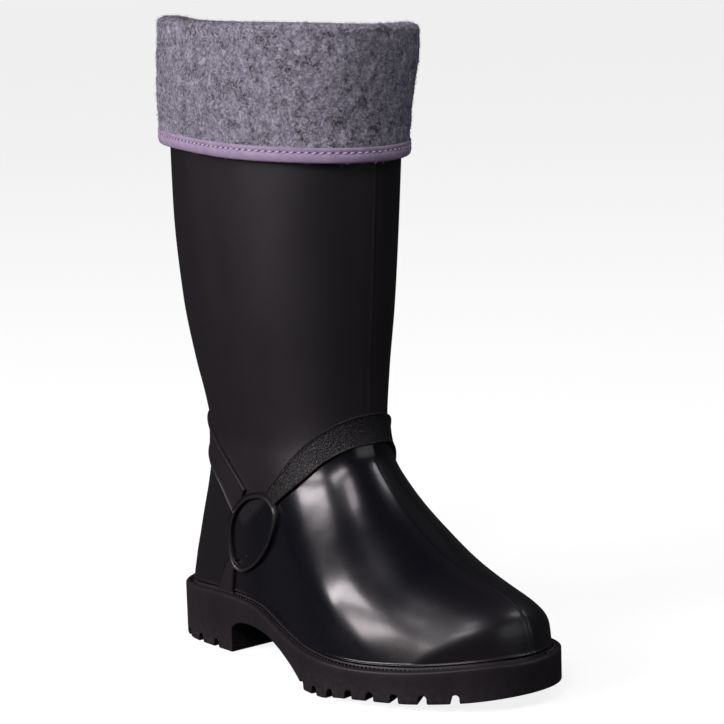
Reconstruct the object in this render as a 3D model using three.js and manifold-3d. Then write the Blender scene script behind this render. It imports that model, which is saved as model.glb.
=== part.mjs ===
// A winter boot for the right foot: one moulded body with a raised ankle harness on a cleated outsole,
// and a felt sock inside it that is turned down over the collar as a bound cuff.
// Millimetres, +Z up, toe towards -Y, outer side towards -X, origin on the floor under the heel's middle.

import * as THREE from 'three';
import { mergeVertices } from 'three/addons/utils/BufferGeometryUtils.js';
import Module from 'manifold-3d';

const wasm = await Module();
wasm.setup();

// Sizes of the last and the moulded body
const footLength = 264;        // heel to toe along the feather line, where the body meets the sole
const ballWidth = 108;         // across the ball of the foot
const heelWidth = 69;          // across the heel
const heelSeat = 34.8;         // height of the feather line at the heel
const ballSeat = 21.6;         // height of the feather line at the ball
const ankleHeight = 128;       // height of the narrowest part of the ankle
const ankleWidth = 73;         // across the ankle
const shaftDepth = 165;        // front to back near the collar
const shaftWidth = 107;        // across the shaft near the collar
const collarHeight = 359;      // height of the moulded body's upper edge, halfway along it
const collarDrop = 9;          // how much lower the collar is at the front than at the back
const wall = 2.4;              // thickness of the moulded wall
const fitGap = 0.3;            // clearance between pieces that touch

// Sizes of the raised ankle harness
const strapRise = 1.7;         // height of the straps above the wall
const ringRise = 2.9;          // height of the ring above the wall
const ringBand = 3.6;          // width of the ring's band

// Sizes of the outsole
const ledgeWidth = 5.1;        // how far the sole stands out past the body
const ledgeDrop = 1.2;         // fall of the ledge from the feather line to its edge
const ledgeRound = 1.0;        // rounding of the ledge's edge
const beadOffset = 2.2;        // from the body out to the crest of the welt's bead
const beadHalf = 1.2;          // half the width of the bead
const beadHeight = 0.8;        // height of the bead above the grooves beside it
const beadFrom = 0.28;         // where the bead begins to rise, a share of footLength
const beadTo = 0.34;           // and where it reaches its height
const heelLength = 73;         // length of the heel's tread
const archLength = 88;         // from the heel's breast to the forefoot's tread
const archHeight = 20;         // clear height under the arch
const toeSpring = 9;           // rise of the tread under the tip of the toe
const lugPitch = 13.5;         // spacing of the notches round the forefoot
const heelLugPitch = 15.7;     // spacing of the notches round the heel
const notchLead = 0.2;         // the forefoot's first notch lies this share of a pitch behind the arch's end
const lugGap = 4.6;            // width of a notch
const lugDepth = 4.8;          // height of a notch
const lugLength = 19;          // how far a notch runs in from the edge
const barLength = 34;          // length of a groove in the middle of the tread
const barDepth = 3;            // depth of a groove in the middle of the tread

// Sizes of the felt sock, its cuff and its sole piece
const feltThickness = 2.8;
const cuffLength = 68;         // height of the turned-down cuff
const cuffStandoff = 1.6;      // from the moulded wall out to the cuff's inner face
const foldClearance = 0.5;     // from the collar's edge up to the fold
const bindingWidth = 8;        // height of the tape round the cuff's edge
const bindingThickness = 0.7;
const insoleThickness = 4;
const insoleClearance = 0.6;   // between the sole piece and the sock's wall

// How finely the forms are divided
const turnCount = 42;          // points round the boot
const outerLevels = 21;        // rows up the outer face
const innerLevels = 12;        // rows up the inner faces
const edgeSteps = 7;           // steps along the edge of a strap
const ringSteps = 18;          // steps round the ring
const foldSteps = 6;           // steps over the fold of the felt, and under it
const underFoldSteps = 3;
const cuffShares = [0, 0.35, 1];   // rows up the cuff, shares of its height

// Side view of the foot and ankle. height: share of ankleHeight; front: reach from the heel end, share of
// footLength; back: inset from the heel end, share of footLength; frontRound and backRound: how far in
// from the front and back lines the full width is reached, shares of ballWidth and heelWidth.
const footRows = [
	{ height: 0.107, front: 0.997, back: -0.015, frontRound: 0.50, backRound: 0.50 },
	{ height: 0.172, front: 0.999, back: -0.008, frontRound: 0.50, backRound: 0.50 },
	{ height: 0.286, front: 0.994, back: 0.004, frontRound: 0.50, backRound: 0.51 },
	{ height: 0.372, front: 0.980, back: 0.014, frontRound: 0.50, backRound: 0.52 },
	{ height: 0.437, front: 0.941, back: 0.022, frontRound: 0.50, backRound: 0.53 },
	{ height: 0.494, front: 0.870, back: 0.031, frontRound: 0.50, backRound: 0.54 },
	{ height: 0.573, front: 0.786, back: 0.043, frontRound: 0.51, backRound: 0.55 },
	{ height: 0.666, front: 0.718, back: 0.058, frontRound: 0.52, backRound: 0.56 },
	{ height: 0.759, front: 0.662, back: 0.072, frontRound: 0.52, backRound: 0.59 },
	{ height: 0.852, front: 0.619, back: 0.082, frontRound: 0.53, backRound: 0.62 },
	{ height: 0.959, front: 0.581, back: 0.086, frontRound: 0.53, backRound: 0.70 },
];

// Side view and width of the shaft. rise: share of the way from ankleHeight to collarHeight; front, back:
// shares of shaftDepth from the heel end; frontRound, backRound: shares of shaftDepth; width: share of the
// way from ankleWidth to shaftWidth.
const shaftRows = [
	{ rise: 0.05, front: 0.911, back: 0.120, frontRound: 0.35, backRound: 0.31, width: 0.09 },
	{ rise: 0.16, front: 0.918, back: 0.073, frontRound: 0.36, backRound: 0.34, width: 0.27 },
	{ rise: 0.32, front: 0.940, back: 0.028, frontRound: 0.38, backRound: 0.37, width: 0.53 },
	{ rise: 0.56, front: 0.969, back: -0.001, frontRound: 0.42, backRound: 0.42, width: 0.78 },
	{ rise: 0.92, front: 1.007, back: 0.010, frontRound: 0.45, backRound: 0.45, width: 0.99 },
];

// Plan of the foot. along: share of footLength; outer, inner: half widths, shares of the width there;
// shift: sideways place of the centre line, share of ballWidth, towards the big toe.
const planRows = [
	{ along: 0.02, outer: 0.496, inner: 0.496, shift: 0 },
	{ along: 0.17, outer: 0.509, inner: 0.509, shift: 0 },
	{ along: 0.29, outer: 0.513, inner: 0.498, shift: 0 },
	{ along: 0.43, outer: 0.511, inner: 0.454, shift: 0 },
	{ along: 0.55, outer: 0.517, inner: 0.461, shift: 0.009 },
	{ along: 0.68, outer: 0.518, inner: 0.488, shift: 0.016 },
	{ along: 0.79, outer: 0.491, inner: 0.477, shift: 0.041 },
	{ along: 0.89, outer: 0.430, inner: 0.430, shift: 0.084 },
	{ along: 0.99, outer: 0.405, inner: 0.400, shift: 0.125 },
];

// Along the foot, shares of footLength, the width grows from heelWidth to ballWidth between these two.
const widenFrom = 0.28;
const widenTo = 0.68;

// Up the ankle, shares of ankleHeight, the plan of the foot gives way to the oval of the shaft.
const blendFrom = 0.38;
const blendTo = 1.13;

// Feather line. along: share of footLength; seat: 0 at ballSeat and 1 at heelSeat; spring: share of toeSpring.
const featherRows = [
	{ along: 0.00, seat: 0.77, spring: 0 },
	{ along: 0.22, seat: 1.00, spring: 0 },
	{ along: 0.33, seat: 0.90, spring: 0 },
	{ along: 0.46, seat: 0.40, spring: 0 },
	{ along: 0.58, seat: 0.08, spring: 0 },
	{ along: 0.72, seat: 0.00, spring: 0 },
	{ along: 0.85, seat: 0.00, spring: 0.16 },
	{ along: 0.99, seat: 0.00, spring: 0.60 },
];

// Underside of the arch. along: share of archLength from the heel's breast; rise: share of archHeight.
const archRows = [
	{ along: 0.00, rise: 0.68 },
	{ along: 0.03, rise: 0.82 },
	{ along: 0.08, rise: 0.93 },
	{ along: 0.23, rise: 1.00 },
	{ along: 0.43, rise: 0.96 },
	{ along: 0.60, rise: 0.82 },
	{ along: 0.80, rise: 0.54 },
	{ along: 0.93, rise: 0.24 },
	{ along: 1.00, rise: 0.00 },
];

// Underside of the forefoot. along: share of footLength; spring: share of toeSpring.
const treadRows = [
	{ along: 0.65, spring: 0 },
	{ along: 0.70, spring: 0.24 },
	{ along: 0.77, spring: 0.42 },
	{ along: 0.87, spring: 0.53 },
	{ along: 0.95, spring: 0.68 },
	{ along: 1.04, spring: 1.05 },
];

// Harness in the side view. along: share of footLength; height: share of ankleHeight.
const frontStrapTop = [
	{ along: 0.640, height: 1.150 },
	{ along: 0.572, height: 1.140 },
	{ along: 0.550, height: 1.115 },
	{ along: 0.505, height: 1.040 },
	{ along: 0.466, height: 0.958 },
	{ along: 0.425, height: 0.848 },
	{ along: 0.395, height: 0.780 },
];
const frontStrapFoot = [
	{ along: 0.415, height: 0.715 },
	{ along: 0.442, height: 0.755 },
	{ along: 0.500, height: 0.857 },
	{ along: 0.538, height: 0.945 },
	{ along: 0.575, height: 1.000 },
	{ along: 0.640, height: 1.015 },
];
const backStrapTop = [
	{ along: 0.320, height: 0.750 },
	{ along: 0.275, height: 0.838 },
	{ along: 0.228, height: 0.922 },
	{ along: 0.146, height: 1.023 },
	{ along: 0.080, height: 1.075 },
	{ along: -0.060, height: 1.090 },
];
const backStrapFoot = [
	{ along: -0.060, height: 0.925 },
	{ along: 0.080, height: 0.930 },
	{ along: 0.154, height: 0.857 },
	{ along: 0.216, height: 0.767 },
	{ along: 0.264, height: 0.640 },
	{ along: 0.285, height: 0.600 },
];
const heelStrap = [
	{ along: 0.275, height: 0.460 },
	{ along: 0.243, height: 0.440 },
	{ along: 0.189, height: 0.275 },
	{ along: 0.165, height: 0.200 },
	{ along: 0.243, height: 0.200 },
	{ along: 0.251, height: 0.287 },
	{ along: 0.262, height: 0.400 },
];
const ringRows = [
	{ along: 0.375, height: 0.780 },
	{ along: 0.422, height: 0.745 },
	{ along: 0.432, height: 0.665 },
	{ along: 0.405, height: 0.560 },
	{ along: 0.365, height: 0.480 },
	{ along: 0.322, height: 0.422 },
	{ along: 0.282, height: 0.392 },
	{ along: 0.255, height: 0.430 },
	{ along: 0.248, height: 0.540 },
	{ along: 0.263, height: 0.650 },
	{ along: 0.308, height: 0.745 },
];

// The heel end of the body lies this far behind the origin, which is under the middle of the heel's tread
const heelEnd = heelLength / 2 - ledgeWidth;
const breast = heelLength - ledgeWidth;
const archEnd = breast + archLength;

// Curves and small helpers

function smooth(x, low, high) {
	const t = THREE.MathUtils.clamp((x - low) / (high - low), 0, 1);
	return t * t * (3 - 2 * t);
}

// A smooth curve through pairs of x and y that never overshoots them and is level past its ends.
function curve(pairs) {
	const last = pairs.length - 1;
	const slopes = [];
	for (let i = 0; i < last; i++) {
		slopes.push((pairs[i + 1][1] - pairs[i][1]) / (pairs[i + 1][0] - pairs[i][0]));
	}
	const tangents = pairs.map((pair, i) => {
		if (i === 0) return slopes[0];
		if (i === last) return slopes[last - 1];
		const before = slopes[i - 1];
		const after = slopes[i];
		return before * after <= 0 ? 0 : (2 * before * after) / (before + after);
	});
	return (x) => {
		if (x <= pairs[0][0]) return pairs[0][1];
		if (x >= pairs[last][0]) return pairs[last][1];
		let i = 0;
		while (x > pairs[i + 1][0]) i++;
		const step = pairs[i + 1][0] - pairs[i][0];
		const t = (x - pairs[i][0]) / step;
		const rest = 1 - t;
		return (1 + 2 * t) * rest * rest * pairs[i][1] + t * rest * rest * step * tangents[i]
			+ t * t * (3 - 2 * t) * pairs[i + 1][1] - t * t * rest * step * tangents[i + 1];
	};
}

// The last: its side view, plan and feather line

const sideRows = [
	...footRows.map((row) => ({
		z: row.height * ankleHeight,
		front: row.front * footLength,
		back: row.back * footLength,
		frontRound: row.frontRound * ballWidth,
		backRound: row.backRound * heelWidth,
		halfWidth: ankleWidth / 2,
	})),
	...shaftRows.map((row) => ({
		z: ankleHeight + row.rise * (collarHeight - ankleHeight),
		front: row.front * shaftDepth,
		back: row.back * shaftDepth,
		frontRound: row.frontRound * shaftDepth,
		backRound: row.backRound * shaftDepth,
		halfWidth: (ankleWidth + (shaftWidth - ankleWidth) * row.width) / 2,
	})),
];
const sideCurve = (column) => curve(sideRows.map((row) => [row.z, row[column]]));
const frontAt = sideCurve('front');
const backAt = sideCurve('back');
const frontRoundAt = sideCurve('frontRound');
const backRoundAt = sideCurve('backRound');
const shaftHalfAt = sideCurve('halfWidth');

const planCurve = (column) => curve(planRows.map((row) => [row.along * footLength, row[column]]));
const outerAt = planCurve('outer');
const innerAt = planCurve('inner');
const shiftAt = planCurve('shift');
const footWidthAt = (p) => heelWidth + (ballWidth - heelWidth) * smooth(p / footLength, widenFrom, widenTo);

const featherAt = curve(featherRows.map((row) => [
	row.along * footLength,
	ballSeat + (heelSeat - ballSeat) * row.seat + toeSpring * row.spring,
]));
const collarAt = (p) => collarHeight + collarDrop * (0.5 - p / shaftDepth);
const cuffFootAt = (p) => collarAt(p) - cuffLength;

// The front and back lines as points every few millimetres of height, to measure distances from.
const lineStep = 2.5;
const lineBelow = 30;          // how far the lines run on below the floor
const lineAbove = 40;          // and above the collar
function sideLine(reachAt) {
	const points = [];
	for (let z = -lineBelow; z <= collarHeight + lineAbove; z += lineStep) {
		points.push({ p: reachAt(z), z });
	}
	return points;
}
const frontLine = sideLine(frontAt);
const backLine = sideLine(backAt);

// Distance in the side view from a point to a line, and the height of the nearest place on the line.
function nearest(line, p, z) {
	let best = { distance: Infinity, z: 0 };
	for (let i = 0; i + 1 < line.length; i++) {
		const a = line[i];
		const b = line[i + 1];
		const dp = b.p - a.p;
		const dz = b.z - a.z;
		const t = THREE.MathUtils.clamp(((p - a.p) * dp + (z - a.z) * dz) / (dp * dp + dz * dz), 0, 1);
		const distance = Math.hypot(p - a.p - t * dp, z - a.z - t * dz);
		if (distance < best.distance) best = { distance, z: a.z + t * dz };
	}
	return best;
}

// How much of the full width is reached at a distance from the front or back line.
function dome(distance, depth) {
	const u = THREE.MathUtils.clamp(distance / depth, 0, 1);
	return Math.sqrt(1 - (1 - u) * (1 - u));
}

// A point of the body's outer face. turn runs from 0 at the back over the outer side to the front at
// half a turn, and on over the inner side.
function facePoint(turn, z) {
	const forward = (1 - Math.cos(turn)) / 2;
	const p = backAt(z) * (1 - forward) + frontAt(z) * forward;
	const front = nearest(frontLine, p, z);
	const back = nearest(backLine, p, z);
	const fullness = dome(front.distance, frontRoundAt(front.z)) * dome(back.distance, backRoundAt(back.z));
	const shaftShare = smooth(z / ankleHeight, blendFrom, blendTo);
	const isOuter = turn <= Math.PI;
	const footHalf = footWidthAt(p) * (isOuter ? outerAt(p) : innerAt(p));
	const half = footHalf * (1 - shaftShare) + shaftHalfAt(z) * shaftShare;
	const centre = shiftAt(p) * ballWidth * (1 - shaftShare);
	return new THREE.Vector3(centre + (isOuter ? -1 : 1) * half * fullness, heelEnd - p, z);
}

// Steps over which the slope of the face is taken
const turnStep = 0.02;
const heightStep = 0.5;

// A point at a distance outside the face, or inside it where the distance is negative.
function offsetPoint(turn, z, distance) {
	const point = facePoint(turn, z);
	if (distance === 0) return point;
	const around = facePoint(wrapTurn(turn + turnStep), z).sub(facePoint(wrapTurn(turn - turnStep), z));
	const upwards = facePoint(turn, z + heightStep).sub(facePoint(turn, z - heightStep));
	return point.addScaledVector(around.cross(upwards).normalize(), distance);
}

function wrapTurn(turn) {
	return THREE.MathUtils.euclideanModulo(turn, 2 * Math.PI);
}

const solveSteps = 12;

// The point of an offset face that lies on a level line, which gives a height for each reach p.
function levelPoint(turn, distance, levelAt) {
	let z = 0;
	const forward = (1 - Math.cos(turn)) / 2;
	for (let i = 0; i < solveSteps; i++) {
		z = levelAt(backAt(z) * (1 - forward) + frontAt(z) * forward);
	}
	for (let i = 0; i < solveSteps; i++) {
		const point = offsetPoint(turn, z, distance);
		z += levelAt(heelEnd - point.y) - point.z;
	}
	return { z, point: offsetPoint(turn, z, distance) };
}

const turns = Array.from({ length: turnCount }, (unused, i) => (2 * Math.PI * i) / turnCount);

const denseTop = 1.1;          // rows are close up to here, a share of ankleHeight
const shaftSpacing = 2.6;      // and this many times wider above it

// Rows spaced evenly along the front line of the foot and wider up the shaft, as shares of the height.
function levelShares(count) {
	const low = featherAt(footLength);
	const high = collarAt(shaftDepth);
	const walked = [{ z: low, length: 0 }];
	for (let z = low; z < high; z += 1) {
		const next = Math.min(z + 1, high);
		const length = Math.hypot(frontAt(next) - frontAt(z), next - z);
		const weight = z < denseTop * ankleHeight ? 1 : 1 / shaftSpacing;
		walked.push({ z: next, length: walked[walked.length - 1].length + length * weight });
	}
	const total = walked[walked.length - 1].length;
	return Array.from({ length: count + 1 }, (unused, i) => {
		const at = walked.find((step) => step.length >= (total * i) / count - 1e-9);
		return (at.z - low) / (high - low);
	});
}

// The rows of one offset face, from a lower level line to an upper one. The rows between lie at the same
// heights on every face, so that faces a small gap apart stay so all over.
function faceRows(distance, lowAt, highAt, shares) {
	return shares.map((share, i) => turns.map((turn) => {
		if (i === 0) return levelPoint(turn, distance, lowAt).point;
		if (i === shares.length - 1) return levelPoint(turn, distance, highAt).point;
		const low = levelPoint(turn, 0, lowAt).z;
		const high = levelPoint(turn, 0, highAt).z;
		return offsetPoint(turn, low + (high - low) * share, distance);
	}));
}

// Closed meshes from rows of points

function meshFrom(positions, triangles) {
	const geometry = new THREE.BufferGeometry();
	geometry.setAttribute('position', new THREE.Float32BufferAttribute(positions, 3));
	geometry.setIndex(triangles);
	return geometry;
}

// Rows joined one to the next all round. Where the rows close on themselves the last joins the first,
// and otherwise the first and last are closed by strips from the outer side to the inner side.
function loft(rows, closes) {
	const count = rows[0].length;
	const positions = rows.flat().flatMap((point) => [point.x, point.y, point.z]);
	const triangles = [];
	const at = (row, place) => (row % rows.length) * count + (place % count);
	for (let row = 0; row < (closes ? rows.length : rows.length - 1); row++) {
		for (let place = 0; place < count; place++) {
			triangles.push(at(row, place), at(row, place + 1), at(row + 1, place + 1));
			triangles.push(at(row, place), at(row + 1, place + 1), at(row + 1, place));
		}
	}
	if (!closes) {
		for (let place = 0; place < count / 2; place++) {
			strip(triangles, at, 0, place, count, false);
			strip(triangles, at, rows.length - 1, place, count, true);
		}
	}
	return meshFrom(positions, triangles);
}

// One strip of a lid, between two places on the outer side and the two that face them.
function strip(triangles, at, row, place, count, isTop) {
	const corners = [at(row, place), at(row, place + 1), at(row, count - place - 1), at(row, count - place)];
	const pairs = [[corners[0], corners[1], corners[2]], [corners[0], corners[2], corners[3]]];
	for (const [a, b, c] of pairs) {
		if (a === b || b === c || a === c) continue;
		triangles.push(...(isTop ? [a, b, c] : [a, c, b]));
	}
}

function solid(geometry) {
	const bare = geometry.index ? geometry.clone() : geometry;
	bare.deleteAttribute('normal');
	bare.deleteAttribute('uv');
	const merged = mergeVertices(bare, 1e-4);
	return new wasm.Manifold(new wasm.Mesh({
		numProp: 3,
		vertProperties: new Float32Array(merged.attributes.position.array),
		triVerts: new Uint32Array(merged.index.array),
	}));
}

function geometryOf(body) {
	const mesh = body.getMesh();
	return meshFrom(Array.from(mesh.vertProperties), Array.from(mesh.triVerts));
}

// A prism straight across the boot, whose outline is given in the side view.
function acrossPrism(outline, half = 2 * ballWidth) {
	const shape = new THREE.Shape(outline.map((point) => new THREE.Vector2(heelEnd - point.p, point.z)));
	const geometry = new THREE.ExtrudeGeometry(shape, { depth: 2 * half, bevelEnabled: false });
	const sideways = new THREE.Matrix4().makeBasis(
		new THREE.Vector3(0, 1, 0),
		new THREE.Vector3(0, 0, 1),
		new THREE.Vector3(1, 0, 0),
	);
	geometry.translate(0, 0, -half).applyMatrix4(sideways);
	return solid(geometry);
}

// The moulded body

const feather = (lift) => (p) => featherAt(p) + lift;
const collar = (lift) => (p) => collarAt(p) + lift;
const throughCut = 10;         // how far a cutting form runs past what it cuts

function sidePoints(rows) {
	return rows.map((row) => new THREE.Vector2(row.along * footLength, row.height * ankleHeight));
}

function throughPoints(rows, count) {
	return new THREE.SplineCurve(sidePoints(rows)).getPoints(count).map((point) => ({ p: point.x, z: point.y }));
}

function strapPrism(upperEdge, lowerEdge) {
	return acrossPrism([...throughPoints(upperEdge, edgeSteps), ...throughPoints(lowerEdge, edgeSteps)]);
}

function ringPrism() {
	const middle = new THREE.CatmullRomCurve3(
		sidePoints(ringRows).map((point) => new THREE.Vector3(point.x, point.y, 0)), true);
	const edge = (distance) => Array.from({ length: ringSteps }, (unused, i) => {
		const point = middle.getPointAt(i / ringSteps);
		const tangent = middle.getTangentAt(i / ringSteps);
		return { p: point.x - tangent.y * distance, z: point.y + tangent.x * distance };
	});
	return acrossPrism(edge(ringBand / 2)).subtract(acrossPrism(edge(-ringBand / 2), 3 * ballWidth));
}

function bodyForm(distance) {
	return solid(loft(faceRows(distance, feather(fitGap), collar(0), levelShares(outerLevels)), false));
}

function makeUpper() {
	const raised = bodyForm(strapRise);
	const straps = strapPrism(frontStrapTop, frontStrapFoot)
		.add(strapPrism(backStrapTop, backStrapFoot))
		.add(acrossPrism(sidePoints(heelStrap).map((point) => ({ p: point.x, z: point.y }))));
	const ring = bodyForm(ringRise).intersect(ringPrism());
	const levelRow = (levelAt) => turns.map((turn) => levelPoint(turn, -wall, levelAt).point);
	const hollow = solid(loft([
		levelRow(feather(-throughCut)),
		...faceRows(-wall, feather(fitGap), collar(0), levelShares(innerLevels)),
		levelRow(collar(throughCut)),
	], false));
	return bodyForm(0).add(raised.intersect(straps)).add(ring).subtract(hollow);
}

// The felt sock with its cuff, and the tape round the cuff's edge

function makeLiner() {
	const sockFace = -(wall + fitGap);
	const innerFace = sockFace - feltThickness;
	const cuffFace = cuffStandoff + feltThickness;
	const shares = levelShares(innerLevels);
	const inside = faceRows(innerFace, feather(fitGap), collar(0), shares);
	const outside = faceRows(cuffFace, cuffFootAt, collar(0), cuffShares);
	const cuffBack = faceRows(cuffStandoff, cuffFootAt, collar(0), cuffShares);
	const sock = faceRows(sockFace, feather(fitGap), collar(0), shares);
	const foldOver = (from, to, lift, count) => {
		const middle = (from + to) / 2;
		const reach = (to - from) / 2;
		const rows = [];
		for (let i = 1; i < count; i++) {
			const angle = Math.PI * (1 - i / count);
			const row = turns.map((turn) => {
				const level = levelPoint(turn, middle + reach * Math.cos(angle), collar(0)).point;
				return level.setZ(level.z + lift * Math.sin(angle));
			});
			rows.push(row);
		}
		return rows;
	};
	const foldHeight = foldClearance + feltThickness;
	return loft([
		...inside,
		...foldOver(innerFace, cuffFace, foldHeight, foldSteps),
		...outside.reverse(),
		...cuffBack,
		...foldOver(cuffStandoff, sockFace, foldClearance, underFoldSteps),
		...sock.reverse(),
	].reverse(), true);
}

function makeCuffBinding() {
	const outerLeg = cuffStandoff + feltThickness + fitGap;
	const innerLeg = cuffStandoff - fitGap;
	const foot = -fitGap;
	const ringAt = (distance, lift) => turns.map((turn) =>
		levelPoint(turn, distance, (p) => cuffFootAt(p) + lift).point);
	return loft([
		ringAt(outerLeg, bindingWidth + foot),
		ringAt(outerLeg, foot),
		ringAt(innerLeg, foot),
		ringAt(innerLeg, bindingWidth + foot),
		ringAt(innerLeg - bindingThickness, bindingWidth + foot),
		ringAt(innerLeg - bindingThickness, foot - bindingThickness),
		ringAt(outerLeg + bindingThickness, foot - bindingThickness),
		ringAt(outerLeg + bindingThickness, bindingWidth + foot),
	], true);
}

function makeInsole() {
	const edge = -(wall + fitGap + feltThickness + insoleClearance);
	const [low, next] = faceRows(edge, feather(fitGap), collar(0), levelShares(innerLevels));
	const high = low.map((point, i) => point.clone().lerp(next[i], insoleThickness / (next[i].z - point.z)));
	return loft([low, high], false);
}

// The outsole

// The outline of the sole: the feather line moved out square to itself.
const featherRing = turns.map((turn) => levelPoint(turn, 0, featherAt).point);

function movedOut(ring, distance) {
	return ring.map((point, i) => {
		const before = ring[(i + ring.length - 1) % ring.length];
		const after = ring[(i + 1) % ring.length];
		const along = new THREE.Vector2(after.x - before.x, after.y - before.y).normalize();
		return new THREE.Vector3(point.x + along.y * distance, point.y - along.x * distance, point.z);
	});
}

function atHeight(ring, heightOf) {
	return ring.map((point) => new THREE.Vector3(point.x, point.y, heightOf(point)));
}

// The tread in the side view, from the end of the arch to past the toe.
const treadPoints = [
	[archEnd, 0],
	...treadRows.map((row) => [row.along * footLength, row.spring * toeSpring]).filter(([p]) => p > archEnd),
];
const undersideAt = curve(treadPoints);

// Everything above the sole's underside: heel, breast, arch, forefoot and toe spring.
function undersidePrism() {
	const behind = -heelLength;
	const ahead = footLength + heelLength;
	const above = 2 * heelSeat;
	return acrossPrism([
		{ p: behind, z: 0 },
		{ p: breast, z: 0 },
		...archRows.map((row) => ({ p: breast + row.along * archLength, z: row.rise * archHeight })),
		...treadPoints.slice(1).map(([p, z]) => ({ p, z })),
		{ p: ahead, z: undersideAt(ahead) },
		{ p: ahead, z: above },
		{ p: behind, z: above },
	]);
}

// The place on the sole's edge at a reach p, on the outer side or the inner side, with the way in.
function edgeAt(ring, p, side) {
	const y = heelEnd - p;
	for (let i = 0; i < ring.length; i++) {
		const a = ring[i];
		const b = ring[(i + 1) % ring.length];
		const isSide = side < 0 ? i < ring.length / 2 : i >= ring.length / 2;
		if (isSide && (a.y - y) * (b.y - y) <= 0 && a.y !== b.y) {
			const point = a.clone().lerp(b, (y - a.y) / (b.y - a.y));
			const along = new THREE.Vector2(b.x - a.x, b.y - a.y).normalize();
			return { point, inwards: new THREE.Vector2(-along.y, along.x) };
		}
	}
	return null;
}

// A round-topped cutter of a notch, which starts outside the edge and runs in.
function notchCutter(place, floor) {
	const half = lugGap / 2;
	const shape = new THREE.Shape();
	shape.moveTo(-half, -throughCut);
	shape.lineTo(half, -throughCut);
	shape.lineTo(half, lugDepth - half);
	shape.absarc(0, lugDepth - half, half, 0, Math.PI, false);
	const geometry = new THREE.ExtrudeGeometry(shape, {
		depth: throughCut + lugLength,
		bevelEnabled: false,
		curveSegments: 4,
	});
	const inwards = new THREE.Vector3(place.inwards.x, place.inwards.y, 0);
	const up = new THREE.Vector3(0, 0, 1);
	const start = new THREE.Vector3(place.point.x, place.point.y, floor).addScaledVector(inwards, -throughCut);
	geometry.applyMatrix4(new THREE.Matrix4().makeBasis(up.clone().cross(inwards), up, inwards).setPosition(start));
	return solid(geometry);
}

// A square groove across the middle of the tread.
function barCutter(p, floor) {
	const geometry = new THREE.BoxGeometry(barLength, lugGap, throughCut + barDepth);
	const centre = shiftAt(p) * ballWidth;
	geometry.translate(centre, heelEnd - p, floor + (barDepth - throughCut) / 2);
	return solid(geometry);
}

// A row of the ledge at a distance from the body. The bead's crest lies as far above the ledge's slope as
// the grooves beside it lie below, and the bead runs from the arch forwards.
function ledgeRow(distance, side) {
	const fall = (ledgeDrop * distance) / (ledgeWidth - ledgeRound);
	return atHeight(movedOut(featherRing, distance), (point) => {
		const bead = smooth((heelEnd - point.y) / footLength, beadFrom, beadTo);
		return point.z - fall + (side * beadHeight * bead) / 2;
	});
}

function makeOutsole() {
	const edge = movedOut(featherRing, ledgeWidth);
	const shoulder = movedOut(featherRing, ledgeWidth - ledgeRound);
	let sole = solid(loft([
		atHeight(edge, () => -throughCut),
		atHeight(edge, (point) => point.z - ledgeDrop - ledgeRound),
		atHeight(shoulder, (point) => point.z - ledgeDrop),
		ledgeRow(beadOffset + beadHalf, -1),
		ledgeRow(beadOffset, 1),
		ledgeRow(beadOffset - beadHalf, -1),
		featherRing,
	], false)).intersect(undersidePrism());
	const heelNotches = Math.floor((heelLength - lugGap) / heelLugPitch) - 1;
	const frontNotches = Math.floor((footLength - archEnd) / lugPitch);
	const notches = [];
	for (let i = 0; i < heelNotches; i++) {
		notches.push({ p: breast - heelLugPitch * (i + 1), pitch: heelLugPitch });
	}
	for (let i = 0; i < frontNotches; i++) {
		notches.push({ p: archEnd + lugPitch * (i - notchLead), pitch: lugPitch });
	}
	for (const { p, pitch } of notches) {
		for (const side of [-1, 1]) {
			const place = edgeAt(edge, p, side);
			if (place) sole = sole.subtract(notchCutter(place, undersideAt(p)));
		}
		const between = p + pitch / 2;
		sole = sole.subtract(barCutter(between, undersideAt(between)));
	}
	return sole;
}

// The boot

const moulded = new THREE.MeshStandardMaterial({ color: 0x1b181c, roughness: 0.28, metalness: 0 });
const tread = new THREE.MeshStandardMaterial({ color: 0x201d21, roughness: 0.5, metalness: 0 });
const felt = new THREE.MeshStandardMaterial({ color: 0x6f6d76, roughness: 1, metalness: 0 });
const soleFelt = new THREE.MeshStandardMaterial({ color: 0x5d5b62, roughness: 1, metalness: 0 });
const tape = new THREE.MeshStandardMaterial({ color: 0x8c7896, roughness: 0.8, metalness: 0 });

function named(name, geometry, material) {
	const mesh = new THREE.Mesh(geometry, material);
	mesh.name = name;
	return mesh;
}

const boot = new THREE.Group();
boot.add(named('upper', geometryOf(makeUpper()), moulded));
boot.add(named('outsole', geometryOf(makeOutsole()), tread));
boot.add(named('liner', makeLiner(), felt));
boot.add(named('insole', makeInsole(), soleFelt));
boot.add(named('cuff_binding', makeCuffBinding(), tape));

export default boot;
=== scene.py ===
import bpy
import numpy as np
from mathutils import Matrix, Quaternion, Vector


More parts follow.
